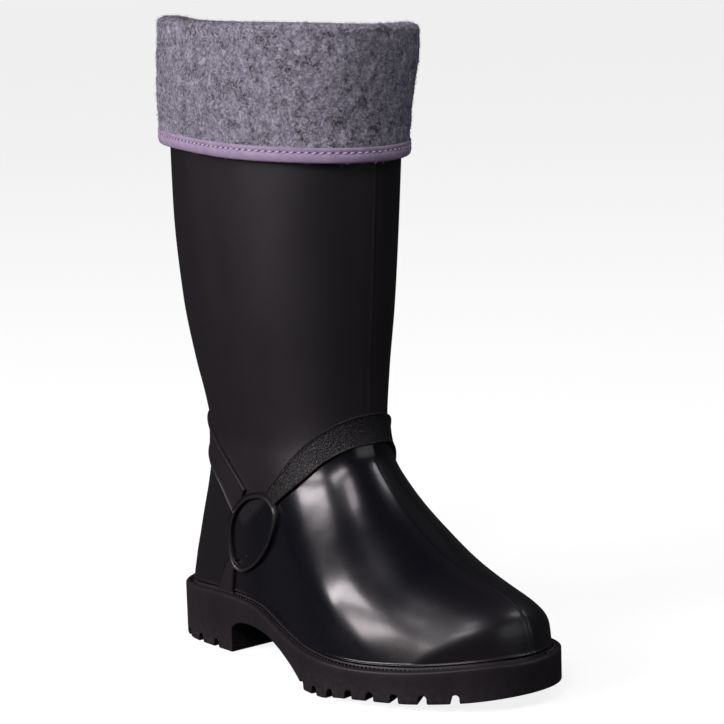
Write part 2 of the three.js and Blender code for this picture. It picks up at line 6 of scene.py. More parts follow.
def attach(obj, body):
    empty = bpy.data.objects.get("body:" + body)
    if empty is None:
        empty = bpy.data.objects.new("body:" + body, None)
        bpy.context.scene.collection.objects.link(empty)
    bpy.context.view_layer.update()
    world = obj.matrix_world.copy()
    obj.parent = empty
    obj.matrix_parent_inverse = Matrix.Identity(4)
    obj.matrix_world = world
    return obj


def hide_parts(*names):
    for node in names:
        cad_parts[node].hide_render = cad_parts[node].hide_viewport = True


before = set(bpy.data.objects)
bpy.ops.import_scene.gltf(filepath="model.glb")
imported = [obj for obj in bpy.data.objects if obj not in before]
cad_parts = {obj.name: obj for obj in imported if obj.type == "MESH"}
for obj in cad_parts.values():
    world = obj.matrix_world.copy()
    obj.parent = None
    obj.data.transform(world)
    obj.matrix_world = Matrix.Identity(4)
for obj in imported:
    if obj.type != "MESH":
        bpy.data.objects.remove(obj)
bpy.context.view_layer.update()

fineness = 1.0  # fewer rows while working, all of them otherwise
print("frame loaded")

# The last in millimetres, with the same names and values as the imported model
last = {
    "footLength": 264, "ballWidth": 108, "heelWidth": 69, "heelSeat": 34.8, "ballSeat": 21.6,
    "ankleHeight": 128, "ankleWidth": 73, "shaftDepth": 165, "shaftWidth": 107,
    "collarHeight": 359, "collarDrop": 9, "wall": 2.4, "fitGap": 0.3,
    "heelLength": 73, "archLength": 88, "archHeight": 20, "toeSpring": 9, "ledgeWidth": 5.1,
}

# height, front, back, frontRound, backRound of the foot's side view
footRows = [
    (0.107, 0.997, -0.015, 0.50, 0.50), (0.172, 0.999, -0.008, 0.50, 0.50),
    (0.286, 0.994, 0.004, 0.50, 0.51), (0.372, 0.980, 0.014, 0.50, 0.52),
    (0.437, 0.941, 0.022, 0.50, 0.53), (0.494, 0.870, 0.031, 0.50, 0.54),
    (0.573, 0.786, 0.043, 0.51, 0.55), (0.666, 0.718, 0.058, 0.52, 0.56),
    (0.759, 0.662, 0.072, 0.52, 0.59), (0.852, 0.619, 0.082, 0.53, 0.62),
    (0.959, 0.581, 0.086, 0.53, 0.70),
]
# rise, front, back, frontRound, backRound, width of the shaft
shaftRows = [
    (0.05, 0.911, 0.120, 0.35, 0.31, 0.09), (0.16, 0.918, 0.073, 0.36, 0.34, 0.27),
    (0.32, 0.940, 0.028, 0.38, 0.37, 0.53), (0.56, 0.969, -0.001, 0.42, 0.42, 0.78),
    (0.92, 1.007, 0.010, 0.45, 0.45, 0.99),
]
# along, outer, inner, shift of the foot's plan
planRows = [
    (0.02, 0.496, 0.496, 0), (0.17, 0.509, 0.509, 0), (0.29, 0.513, 0.498, 0),
    (0.43, 0.511, 0.454, 0), (0.55, 0.517, 0.461, 0.009), (0.68, 0.518, 0.488, 0.016),
    (0.79, 0.491, 0.477, 0.041), (0.89, 0.430, 0.430, 0.084), (0.99, 0.405, 0.400, 0.125),
]
# along, seat, spring of the line where the body meets the sole
featherRows = [
    (0.00, 0.77, 0), (0.22, 1.00, 0), (0.33, 0.90, 0), (0.46, 0.40, 0),
    (0.58, 0.08, 0), (0.72, 0.00, 0), (0.85, 0.00, 0.16), (0.99, 0.00, 0.60),
]
# along, rise of the underside of the arch
archRows = [
    (0.00, 0.68), (0.03, 0.82), (0.08, 0.93), (0.23, 1.00), (0.43, 0.96),
    (0.60, 0.82), (0.80, 0.54), (0.93, 0.24), (1.00, 0.00),
]
# along, spring of the underside of the forefoot
treadRows = [(0.65, 0), (0.70, 0.24), (0.77, 0.42), (0.87, 0.53), (0.95, 0.68), (1.04, 1.05)]

heelEnd = last["heelLength"] / 2 - last["ledgeWidth"]
breast = last["heelLength"] - last["ledgeWidth"]
archEnd = breast + last["archLength"]


def smoothStep(x, low, high):
    t = np.clip((x - low) / (high - low), 0, 1)
    return t * t * (3 - 2 * t)


def curveThrough(xs, ys):
    # a smooth curve through points that never overshoots them
    xs, ys = np.array(xs, float), np.array(ys, float)
    slopes = np.diff(ys) / np.diff(xs)
    tangents = np.zeros(len(xs))
    tangents[0], tangents[-1] = slopes[0], slopes[-1]
    before, after = slopes[:-1], slopes[1:]
    same = before * after > 0
    tangents[1:-1][same] = 2 * (before * after)[same] / (before + after)[same]

    def at(x):
        x = np.clip(np.asarray(x, float), xs[0], xs[-1])
        k = np.clip(np.searchsorted(xs, x, side="right") - 1, 0, len(xs) - 2)
        step = xs[k + 1] - xs[k]
        t = (x - xs[k]) / step
        rest = 1 - t
        return ((1 + 2 * t) * rest * rest * ys[k] + t * rest * rest * step * tangents[k]
                + t * t * (3 - 2 * t) * ys[k + 1] - t * t * rest * step * tangents[k + 1])
    return at


shaftHeights = [last["ankleHeight"] + row[0] * (last["collarHeight"] - last["ankleHeight"])
                for row in shaftRows]
sideHeights = [row[0] * last["ankleHeight"] for row in footRows] + shaftHeights


def softened(curve, low, high, width):
    # the same curve with its bends eased, so that long reflections run evenly
    step = 0.25
    xs = np.arange(low, high + step, step)
    reach = int(4 * width / step)
    weights = np.exp(-(np.arange(-reach, reach + 1) * step / width) ** 2 / 2)
    ys = np.convolve(np.pad(curve(xs), reach, mode="edge"), weights / weights.sum(), mode="valid")
    return lambda x: np.interp(np.asarray(x, float), xs, ys)


easing = {"lines": 2.2, "rounding": 6.0, "plan": 9.0}


def sideCurve(column, footScale, width):
    # one column of the side view's tables as a curve over the height
    values = [row[column] * footScale for row in footRows]
    values += [row[column] * last["shaftDepth"] for row in shaftRows]
    return softened(curveThrough(sideHeights, values), -40, last["collarHeight"] + 50, width)


frontAt = sideCurve(1, last["footLength"], easing["lines"])
backAt = sideCurve(2, last["footLength"], easing["lines"])
frontRoundAt = sideCurve(3, last["ballWidth"], easing["rounding"])
backRoundAt = sideCurve(4, last["heelWidth"], easing["rounding"])
shaftHalfAt = curveThrough(sideHeights, [last["ankleWidth"] / 2] * len(footRows) + [
    (last["ankleWidth"] + (last["shaftWidth"] - last["ankleWidth"]) * row[5]) / 2 for row in shaftRows])
outerAt, innerAt, shiftAt = (
    softened(curveThrough([row[0] * last["footLength"] for row in planRows], [row[k] for row in planRows]),
             -10, last["footLength"] + 10, easing["plan"])
    for k in (1, 2, 3))
featherAt = curveThrough(
    [row[0] * last["footLength"] for row in featherRows],
    [last["ballSeat"] + (last["heelSeat"] - last["ballSeat"]) * row[1] + last["toeSpring"] * row[2]
     for row in featherRows])
archAt = curveThrough([breast + row[0] * last["archLength"] for row in archRows],
                      [row[1] * last["archHeight"] for row in archRows])
springAt = curveThrough([archEnd] + [row[0] * last["footLength"] for row in treadRows],
                        [0] + [row[1] * last["toeSpring"] for row in treadRows])

lineHeights = np.arange(-30, last["collarHeight"] + 41, 2.5)
frontLine = np.stack([frontAt(lineHeights), lineHeights], 1)
backLine = np.stack([backAt(lineHeights), lineHeights], 1)


def treadAt(p):
    return np.where(p < breast, 0, np.where(p < archEnd, archAt(p), springAt(p)))


def collarAt(p):
    return last["collarHeight"] + last["collarDrop"] * (0.5 - p / last["shaftDepth"])


def nearest(line, lineAt, p, z):
    # distance in the side view from points to a line, and the height of the nearest place on it
    start, step = line[:-1], np.diff(line, axis=0)
    squares = (step ** 2).sum(1)
    distance, height = np.empty(len(p)), np.empty(len(p))
    for low in range(0, len(p), 8000):
        part = slice(low, low + 8000)
        gap = np.stack([p[part], z[part]], 1)[:, None] - start
        t = np.clip((gap * step).sum(2) / squares, 0, 1)
        away = np.hypot(gap[..., 0] - t * step[:, 0], gap[..., 1] - t * step[:, 1])
        best = away.argmin(1)
        row = np.arange(len(best))
        distance[part] = away[row, best]
        height[part] = start[best, 1] + t[row, best] * step[best, 1]
    close = distance < 3  # near the line the straight steps show, so the curve itself is used
    h = height[close]
    for _ in range(4):
        slope = (lineAt(h + 0.05) - lineAt(h - 0.05)) / 0.1
        h = h + (z[close] - h + (p[close] - lineAt(h)) * slope) / (1 + slope ** 2)
    distance[close] = np.hypot(p[close] - lineAt(h), z[close] - h)
    height[close] = h
    return distance, height


def dome(distance, depth):
    # a quarter round that eases into the flat beyond it
    left = 1 - distance / depth
    left = (left + np.sqrt(left ** 2 + (0.22 * (1 - left)) ** 2)) / 2
    return np.sqrt(np.clip(1 - left ** 2, 0, 1))


def reachOf(turn, z):
    forward = (1 - np.cos(turn)) / 2
    return backAt(z) * (1 - forward) + frontAt(z) * forward


def bodyPoint(turn, z):
    # turn is 0 at the back, over the outer side, half a turn at the front, and on over the inner side
    turn, z = np.broadcast_arrays(np.asarray(turn, float), np.asarray(z, float))
    shape = turn.shape
    turn, z = np.mod(turn.ravel(), 2 * np.pi), z.ravel()
    p = reachOf(turn, z)
    frontAway, frontZ = nearest(frontLine, frontAt, p, z)
    backAway, backZ = nearest(backLine, backAt, p, z)
    fullness = dome(frontAway, frontRoundAt(frontZ)) * dome(backAway, backRoundAt(backZ))
    shaftShare = smoothStep(z / last["ankleHeight"], 0.38, 1.13)
    isOuter = turn <= np.pi
    width = last["heelWidth"] + (last["ballWidth"] - last["heelWidth"]) * smoothStep(
        p / last["footLength"], 0.28, 0.68)
    footHalf = width * np.where(isOuter, outerAt(p), innerAt(p))
    half = footHalf * (1 - shaftShare) + shaftHalfAt(z) * shaftShare
    centre = shiftAt(p) * last["ballWidth"] * (1 - shaftShare)
    x = centre + np.where(isOuter, -1, 1) * half * fullness
    return np.stack([x, heelEnd - p, z], 1).reshape(shape + (3,))


def bodyNormal(turn, z):
    around = bodyPoint(turn + 0.02, z) - bodyPoint(turn - 0.02, z)
    upwards = bodyPoint(turn, z + 0.5) - bodyPoint(turn, z - 0.5)
    normal = np.cross(around, upwards)
    return normal / np.linalg.norm(normal, axis=-1)[..., None]


def offsetPoint(turn, z, distance):
    turn, z = np.broadcast_arrays(np.asarray(turn, float), np.asarray(z, float))
    return bodyPoint(turn, z) + bodyNormal(turn, z) * np.asarray(distance, float)[..., None]


def levelHeights(turn, distance, levelAt):
    # the heights at which the offset face meets a level line that gives a height for each reach
    z = np.zeros(len(turn))
    for _ in range(12):
        z = levelAt(reachOf(turn, z))
    for _ in range(12):
        point = offsetPoint(turn, z, distance)
        z = z + levelAt(heelEnd - point[:, 1]) - point[:, 2]
    return z


def levelShares(count):
    # rows evenly spaced along the front of the foot and wider up the shaft
    low, high = float(featherAt(last["footLength"])), float(collarAt(last["shaftDepth"]))
    heights = np.arange(low, high, 1.0)
    heights = np.append(heights, high)
    steps = np.hypot(np.diff(frontAt(heights)), np.diff(heights))
    steps = steps * np.where(heights[:-1] < 1.1 * last["ankleHeight"], 1, 0.5)
    walked = np.concatenate([[0], np.cumsum(steps)])
    return (np.interp(np.linspace(0, walked[-1], count + 1), walked, heights) - low) / (high - low)


def latticeQuads(rows, count, wrapsRows=False, wrapsColumns=True):
    # the numbers of a lattice's points, the row and column of each face, and the faces themselves
    index = np.arange(rows * count).reshape(rows, count)
    r, c = np.meshgrid(np.arange(rows if wrapsRows else rows - 1),
                       np.arange(count if wrapsColumns else count - 1), indexing="ij")
    r2, c2 = (r + 1) % rows, (c + 1) % count
    return index, r, c, np.stack([index[r, c], index[r, c2], index[r2, c2], index[r2, c]], -1).reshape(-1, 4)


def facingOut(points, faces, number):
    # the faces turned so that the numbered one, on the outer side, looks that way
    a, b, c = (points[k] for k in faces[number][:3])
    return [face[::-1] for face in faces] if np.cross(b - a, c - a)[0] > 0 else faces


def latticePiece(name, grid, material, wrapsRows=False, wrapsColumns=True, capped=False, sharp=50):
    # a mesh from rows of points in millimetres, with a map in metres along the rows and across them
    rows, count = grid.shape[:2]
    index, r, c, quads = latticeQuads(rows, count, wrapsRows, wrapsColumns)
    stepAlong = np.linalg.norm(np.roll(grid, -1, 1) - grid, axis=2).mean(0) / 1000
    stepAcross = np.linalg.norm(np.roll(grid, -1, 0) - grid, axis=2).mean(1) / 1000
    u = np.concatenate([[0], np.cumsum(stepAlong)])
    v = np.concatenate([[0], np.cumsum(stepAcross)])
    uv = np.stack([np.stack([u[c], u[c + 1], u[c + 1], u[c]], -1),
                   np.stack([v[r], v[r], v[r + 1], v[r + 1]], -1)], -1).reshape(-1, 4, 2)
    flat = grid.reshape(-1, 3) / 1000
    corners = flat[quads]
    across = np.cross(corners[:, 1] - corners[:, 0], corners[:, 2] - corners[:, 0])
    across += np.cross(corners[:, 2] - corners[:, 0], corners[:, 3] - corners[:, 0])
    volume = (corners.mean(1) * across).sum()
    if volume < 0:
        quads, uv = quads[:, ::-1], uv[:, ::-1]
    faces = quads.tolist()
    uvs = uv.reshape(-1, 2)
    if capped:
        ends = [index[:, 0].tolist(), index[:, -1][::-1].tolist()]
        if volume < 0:
            ends = [end[::-1] for end in ends]
        faces += [ends[0][::-1], ends[1][::-1]]
        uvs = np.concatenate([uvs, np.zeros((2 * rows, 2))])
    return meshPiece(name, flat, faces, material, uvs, sharp)


def meshPiece(name, points, faces, material, uvs=None, sharp=50):
    mesh = bpy.data.meshes.new(name)
    mesh.from_pydata(np.asarray(points).tolist(), [], faces)
    if uvs is not None:
        layer = mesh.uv_layers.new(name="surface")
        layer.data.foreach_set("uv", np.ascontiguousarray(uvs, dtype=np.float32).ravel())
    mesh.polygons.foreach_set("use_smooth", [True] * len(mesh.polygons))
    mesh.set_sharp_from_angle(angle=np.radians(sharp))
    mesh.materials.append(material)
    mesh.validate()
    piece = bpy.data.objects.new(name, mesh)
    bpy.context.scene.collection.objects.link(piece)
    return piece


def markPoints(piece, name, values):
    layer = piece.data.attributes.new(name, "FLOAT", "POINT")
    layer.data.foreach_set("value", np.asarray(values, dtype=np.float32))


def joined(name, pieces):
    bpy.ops.object.select_all(action="DESELECT")
    for piece in pieces:
        piece.select_set(True)
    bpy.context.view_layer.objects.active = pieces[0]
    bpy.ops.object.join()
    pieces[0].name = name
    pieces[0].data.name = name
    return pieces[0]


# Node helpers

def newMaterial(name, look):
    material = bpy.data.materials.new(name)
    material.use_nodes = True
    shader = material.node_tree.nodes["Principled BSDF"]
    for socket, value in look.items():
        shader.inputs[socket].default_value = value
    return material, material.node_tree, shader


def addNode(tree, kind, inputs=None, **settings):
    node = tree.nodes.new(kind)
    for name, value in settings.items():
        setattr(node, name, value)
    for name, value in (inputs or {}).items():
        socket = node.inputs[name]
        if isinstance(value, bpy.types.NodeSocket):
            tree.links.new(value, socket)
        else:
            socket.default_value = value
    return node


def mathNode(tree, operation, first, second=0.0, clamp=False):
    node = addNode(tree, "ShaderNodeMath", {0: first, 1: second}, operation=operation, use_clamp=clamp)
    return node.outputs[0]


def rangeNode(tree, value, low, high, toLow=0.0, toHigh=1.0):
    node = addNode(tree, "ShaderNodeMapRange", {"Value": value, "From Min": low, "From Max": high,
                                                "To Min": toLow, "To Max": toHigh})
    return node.outputs["Result"]


def mixColour(tree, factor, first, second):
    node = addNode(tree, "ShaderNodeMix", {"Factor": factor, 6: first, 7: second}, data_type="RGBA")
    return node.outputs[2]


def noiseNode(tree, vector, scale, detail=3.0, roughness=0.5, distortion=0.0):
    node = addNode(tree, "ShaderNodeTexNoise", {
        "Vector": vector, "Scale": scale, "Detail": detail, "Roughness": roughness, "Distortion": distortion})
    return node.outputs["Fac"]


def stretched(tree, vector, scale, rotation=(0, 0, 0)):
    node = addNode(tree, "ShaderNodeMapping", {"Vector": vector, "Scale": scale, "Rotation": rotation})
    return node.outputs["Vector"]


def shaderGroup(name, inputs, outputs):
    group = bpy.data.node_groups.new(name, "ShaderNodeTree")
    for label, kind, value in inputs:
        socket = group.interface.new_socket(label, in_out="INPUT", socket_type=kind)
        if value is not None:
            socket.default_value = value
    for label, kind in outputs:
        group.interface.new_socket(label, in_out="OUTPUT", socket_type=kind)
    return group, group.nodes.new("NodeGroupInput"), group.nodes.new("NodeGroupOutput")


def placed(tree, group, inputs):
    return addNode(tree, "ShaderNodeGroup", inputs, node_tree=group)


def bumped(tree, shader, strength, distance, height):
    bump = addNode(tree, "ShaderNodeBump", {"Strength": strength, "Distance": distance, "Height": height})
    tree.links.new(bump.outputs["Normal"], shader.inputs["Normal"])


# Shared effects

def makeMouldSkin():
    # the skin of moulded plastic: a soft orange peel, fine pores and faint flow marks
    group, entry, leave = shaderGroup(
        "mouldSkin",
        [("Vector", "NodeSocketVector", None), ("Peel Scale", "NodeSocketFloat", 160.0),
         ("Pore Scale", "NodeSocketFloat", 1500.0), ("Pore Share", "NodeSocketFloat", 0.3)],
        [("Height", "NodeSocketFloat"), ("Smear", "NodeSocketFloat")])
    vector = entry.outputs["Vector"]
    peel = noiseNode(group, vector, entry.outputs["Peel Scale"], 2.0, 0.45)
    pores = noiseNode(group, vector, entry.outputs["Pore Scale"], 2.0, 0.6)
    flow = noiseNode(group, stretched(group, vector, (26.0, 26.0, 9.0)), 1.0, 4.0, 0.55, 0.4)
    height = mathNode(group, "ADD", peel, mathNode(group, "MULTIPLY", pores, entry.outputs["Pore Share"]))
    group.links.new(height, leave.inputs["Height"])
    group.links.new(rangeNode(group, flow, 0.35, 0.68), leave.inputs["Smear"])
    return group


def makeFloorDust():
    # pale dust that thins out with height above the floor, broken up by noise
    group, entry, leave = shaderGroup(
        "floorDust",
        [("Vector", "NodeSocketVector", None), ("Reach", "NodeSocketFloat", 0.02),
         ("Amount", "NodeSocketFloat", 0.3)],
        [("Mask", "NodeSocketFloat")])
    vector = entry.outputs["Vector"]
    height = addNode(group, "ShaderNodeSeparateXYZ", {"Vector": vector}).outputs["Z"]
    near = mathNode(group, "SUBTRACT", 1.0, mathNode(group, "DIVIDE", height, entry.outputs["Reach"]), True)
    broken = rangeNode(group, noiseNode(group, vector, 420.0, 5.0, 0.65), 0.42, 0.72)
    near = mathNode(group, "MULTIPLY", near, broken)
    group.links.new(mathNode(group, "MULTIPLY", near, entry.outputs["Amount"], True), leave.inputs["Mask"])
    return group


def makeFeltFibres():
    # matted wool: soft clouds, a fine mix of light and dark wool, and thin curly hairs on top
    group, entry, leave = shaderGroup(
        "feltFibres",
        [("Vector", "NodeSocketVector", None), ("Cloud Scale", "NodeSocketFloat", 150.0),
         ("Grain Scale", "NodeSocketFloat", 900.0), ("Dark", "NodeSocketColor", (0.03, 0.03, 0.04, 1)),
         ("Light", "NodeSocketColor", (0.3, 0.3, 0.35, 1)), ("Hair", "NodeSocketColor", (0.6, 0.6, 0.65, 1))],
        [("Color", "NodeSocketColor"), ("Height", "NodeSocketFloat")])
    vector = entry.outputs["Vector"]
    clouds = noiseNode(group, vector, entry.outputs["Cloud Scale"], 3.0, 0.55)
    grain = noiseNode(group, vector, entry.outputs["Grain Scale"], 3.0, 0.62, 0.9)
    tone = mathNode(group, "ADD", rangeNode(group, clouds, 0.32, 0.70, -0.12, 0.40),
                    rangeNode(group, grain, 0.38, 0.63, 0.0, 0.74), True)
    curls = []
    for scale, offset in ((430.0, 3.1), (560.0, 7.7), (720.0, 11.3)):
        moved = addNode(group, "ShaderNodeVectorMath", {0: vector, 1: (offset, 0.0, offset)}, operation="ADD")
        wander = noiseNode(group, moved.outputs[0], scale, 1.0, 0.4, 1.6)
        line = mathNode(group, "ABSOLUTE", mathNode(group, "SUBTRACT", wander, 0.5))
        curls.append(rangeNode(group, line, 0.0, 0.022, 1.0, 0.0))
    curl = mathNode(group, "MAXIMUM", mathNode(group, "MAXIMUM", curls[0], curls[1]), curls[2])
    broken = rangeNode(group, noiseNode(group, vector, 610.0, 2.0, 0.6), 0.44, 0.62)
    curl = mathNode(group, "MULTIPLY", curl, broken)
    wool = mixColour(group, tone, entry.outputs["Dark"], entry.outputs["Light"])
    group.links.new(mixColour(group, mathNode(group, "MULTIPLY", curl, 0.75), wool, entry.outputs["Hair"]),
                    leave.inputs["Color"])
    height = mathNode(group, "ADD", mathNode(group, "MULTIPLY", clouds, 0.8),
                      mathNode(group, "ADD", grain, curl))
    group.links.new(height, leave.inputs["Height"])
    return group


def makeWeave():
    # a fine twill: crossed threads on the piece's own map
    group, entry, leave = shaderGroup(
        "tapeWeave",
        [("Vector", "NodeSocketVector", None), ("Thread", "NodeSocketFloat", 0.0007)],
        [("Height", "NodeSocketFloat")])
    turned = stretched(group, entry.outputs["Vector"], (1.0, 1.0, 1.0), (0.0, 0.0, 0.785))
    split = addNode(group, "ShaderNodeSeparateXYZ", {"Vector": turned})
    waves = []
    for axis in ("X", "Y"):
        angle = mathNode(group, "DIVIDE", split.outputs[axis], entry.outputs["Thread"])
        wave = mathNode(group, "SINE", mathNode(group, "MULTIPLY", angle, 6.2832))
        waves.append(mathNode(group, "ABSOLUTE", wave))
    group.links.new(mathNode(group, "MAXIMUM", *waves), leave.inputs["Height"])
    return group


mouldSkin, floorDust = makeMouldSkin(), makeFloorDust()
feltFibres, tapeWeave = makeFeltFibres(), makeWeave()

# Materials

plastic = {"colour": (0.0036, 0.0036, 0.0062, 1), "mattColour": (0.0108, 0.0087, 0.0114, 1),
           "dustColour": (0.09, 0.085, 0.08, 1), "footRoughness": 0.19, "shaftRoughness": 0.44}


def objectVector(tree):
    return addNode(tree, "ShaderNodeTexCoord").outputs["Object"]


def skinOf(tree, vector, peel, pores, share):
    return placed(tree, mouldSkin, {
        "Vector": vector, "Peel Scale": peel, "Pore Scale": pores, "Pore Share": share}).outputs


def dustOf(tree, vector, reach, amount):
    return placed(tree, floorDust, {"Vector": vector, "Reach": reach, "Amount": amount}).outputs["Mask"]


def makeBodyMaterial():
    material, tree, shader = newMaterial("mouldedBody", {
        "Specular IOR Level": 0.42, "Coat Roughness": 0.10, "Coat IOR": 1.45})
    vector = objectVector(tree)
    skin = skinOf(tree, vector, 95.0, 1700.0, 0.16)
    dust = dustOf(tree, vector, 0.05, 0.10)
    gloss = addNode(tree, "ShaderNodeAttribute", attribute_name="gloss").outputs["Fac"]
    base = mixColour(tree, gloss, plastic["mattColour"], plastic["colour"])
    tree.links.new(mixColour(tree, dust, base, plastic["dustColour"]), shader.inputs["Base Color"])
    rough = rangeNode(tree, gloss, 0.0, 1.0, plastic["shaftRoughness"], plastic["footRoughness"])
    rough = mathNode(tree, "ADD", rough, mathNode(tree, "MULTIPLY", skin["Smear"], 0.07))
    tree.links.new(rough, shader.inputs["Roughness"])
    tree.links.new(mathNode(tree, "MULTIPLY", gloss, 0.12), shader.inputs["Coat Weight"])
    bumped(tree, shader, 0.5, 0.00016, skin["Height"])
    return material


def makeHarnessMaterial():
    # moulded leather grain: cells with creases between them
    material, tree, shader = newMaterial("grainedHarness", {"Specular IOR Level": 0.36})
    vector = objectVector(tree)
    skin = skinOf(tree, vector, 300.0, 2200.0, 0.4)
    bent = noiseNode(tree, vector, 500.0, 2.0)
    cells = addNode(tree, "ShaderNodeTexVoronoi", {"Vector": vector, "Scale": 780.0, "Randomness": 1.0},
                    feature="DISTANCE_TO_EDGE").outputs["Distance"]
    grain = mathNode(tree, "MULTIPLY", rangeNode(tree, cells, 0.0, 0.22), 0.7)
    height = mathNode(tree, "ADD", mathNode(tree, "ADD", grain, mathNode(tree, "MULTIPLY", bent, 0.8)),
                      mathNode(tree, "MULTIPLY", skin["Height"], 0.3))
    # creases across the strap where it runs into the ring
    across = stretched(tree, vector, (60.0, 900.0, 150.0), (-0.75, 0.0, 0.0))
    creases = noiseNode(tree, across, 1.0, 2.0, 0.5, 0.6)
    reach = addNode(tree, "ShaderNodeSeparateXYZ", {"Vector": vector}).outputs["Y"]
    nearRing = rangeNode(tree, reach, -0.112, -0.080)
    height = mathNode(tree, "ADD", height, mathNode(tree, "MULTIPLY", creases, mathNode(
        tree, "MULTIPLY", nearRing, 5.0)))
    tree.links.new(mixColour(tree, grain, (0.0055, 0.0046, 0.0058, 1), (0.0125, 0.0102, 0.0128, 1)),
                   shader.inputs["Base Color"])
    tree.links.new(rangeNode(tree, grain, 0.0, 0.7, 0.58, 0.36), shader.inputs["Roughness"])
    bumped(tree, shader, 0.85, 0.00028, height)
    return material


def makeSoleMaterial():
    material, tree, shader = newMaterial("mouldedSole", {"Specular IOR Level": 0.3})
    vector = objectVector(tree)
    skin = skinOf(tree, vector, 240.0, 2400.0, 0.5)
    dust = dustOf(tree, vector, 0.016, 0.30)
    base = mixColour(tree, skin["Smear"], (0.0140, 0.0112, 0.0142, 1), (0.0185, 0.0150, 0.0185, 1))
    tree.links.new(mixColour(tree, dust, base, plastic["dustColour"]), shader.inputs["Base Color"])
    rough = rangeNode(tree, skin["Smear"], 0.0, 1.0, 0.42, 0.52)
    tree.links.new(mathNode(tree, "ADD", rough, mathNode(tree, "MULTIPLY", dust, 0.4), True),
                   shader.inputs["Roughness"])
    bumped(tree, shader, 0.6, 0.00018, skin["Height"])
    return material


def makeFeltMaterial(name, dark, light, hair, cloudScale, grainScale):
    material, tree, shader = newMaterial(name, {
        "Roughness": 1.0, "Specular IOR Level": 0.1, "Sheen Weight": 0.18, "Sheen Roughness": 0.6,
        "Sheen Tint": (0.85, 0.82, 0.95, 1)})
    fibres = placed(tree, feltFibres, {"Vector": objectVector(tree), "Cloud Scale": cloudScale,
                                       "Grain Scale": grainScale, "Dark": dark, "Light": light, "Hair": hair})
    tree.links.new(fibres.outputs["Color"], shader.inputs["Base Color"])
    bumped(tree, shader, 1.0, 0.0006, fibres.outputs["Height"])
    return material


def makeTapeMaterial():
    material, tree, shader = newMaterial("lilacTape", {
        "Roughness": 0.72, "Specular IOR Level": 0.3, "Sheen Weight": 0.15, "Sheen Roughness": 0.4})
    surface = addNode(tree, "ShaderNodeUVMap", uv_map="surface").outputs["UV"]
    weave = placed(tree, tapeWeave, {"Vector": surface, "Thread": 0.0009}).outputs["Height"]
    soiled = noiseNode(tree, objectVector(tree), 130.0, 4.0, 0.6)
    light = mixColour(tree, rangeNode(tree, soiled, 0.35, 0.7),
                      (0.330, 0.250, 0.390, 1), (0.450, 0.365, 0.520, 1))
    tree.links.new(mixColour(tree, weave, (0.20, 0.145, 0.245, 1), light), shader.inputs["Base Color"])
    bumped(tree, shader, 0.7, 0.0002, weave)
    return material


bodyMaterial, harnessMaterial, soleMaterial = makeBodyMaterial(), makeHarnessMaterial(), makeSoleMaterial()
feltMaterial = makeFeltMaterial("greyFelt", (0.013, 0.013, 0.019, 1), (0.430, 0.415, 0.520, 1),
                                (0.95, 0.92, 1.0, 1), 150.0, 560.0)
soleFeltMaterial = makeFeltMaterial("insoleFelt", (0.02, 0.02, 0.026, 1), (0.16, 0.15, 0.18, 1),
                                    (0.30, 0.29, 0.33, 1), 240.0, 900.0)
tapeMaterial = makeTapeMaterial()
threadMaterial, threadTree, threadShader = newMaterial("lilacThread", {
    "Base Color": (0.20, 0.14, 0.24, 1), "Roughness": 0.6, "Specular IOR Level": 0.3})
threadNoise = noiseNode(threadTree, objectVector(threadTree), 2600.0, 2.0)
threadTree.links.new(mixColour(threadTree, threadNoise, (0.36, 0.29, 0.43, 1), (0.66, 0.58, 0.74, 1)),
                     threadShader.inputs["Base Color"])
hairMaterial, hairTree, hairShader = newMaterial("woolHair", {
    "Base Color": (0.6, 0.56, 0.68, 1), "Roughness": 0.9, "Specular IOR Level": 0.2})
hairNoise = noiseNode(hairTree, objectVector(hairTree), 320.0, 2.0)
hairTree.links.new(mixColour(hairTree, rangeNode(hairTree, hairNoise, 0.4, 0.6), (0.10, 0.09, 0.13, 1),
                             (0.62, 0.58, 0.70, 1)), hairShader.inputs["Base Color"])
# painted shade: a dark colour for the beads that stand in for the shade inside the tape's needle holes
holeShadeMaterial = newMaterial("needleHoleShade", {
    "Base Color": (0.045, 0.032, 0.055, 1), "Roughness": 0.95, "Specular IOR Level": 0.1})[0]
print("materials made")

# The harness in the side view: along as shares of footLength, height as shares of ankleHeight
frontStrapTop = [(0.395, 0.780), (0.425, 0.848), (0.466, 0.958), (0.505, 1.040), (0.550, 1.115),
                 (0.572, 1.140), (0.640, 1.150)]
frontStrapFoot = [(0.415, 0.715), (0.442, 0.755), (0.500, 0.857), (0.538, 0.945), (0.575, 1.000),
                  (0.640, 1.015)]
backStrapTop = [(-0.060, 1.090), (0.080, 1.075), (0.146, 1.023), (0.228, 0.922), (0.275, 0.838),
                (0.320, 0.750)]
backStrapFoot = [(-0.060, 0.925), (0.080, 0.930), (0.154, 0.857), (0.216, 0.767), (0.264, 0.640),
                 (0.285, 0.600)]
heelStrapBack = [(0.200, 0.165), (0.275, 0.189), (0.440, 0.243), (0.460, 0.258)]
heelStrapFront = [(0.200, 0.243), (0.287, 0.251), (0.400, 0.262), (0.460, 0.275)]
ringRows = [(0.378, 0.762), (0.424, 0.728), (0.432, 0.665), (0.405, 0.560), (0.365, 0.480),
            (0.322, 0.422), (0.282, 0.392), (0.255, 0.430), (0.248, 0.540), (0.264, 0.640), (0.311, 0.726)]


def sideEdge(rows):
    along, height = zip(*rows)
    return curveThrough(np.array(along) * last["footLength"], np.array(height) * last["ankleHeight"])


# What repeats along a path or over a surface

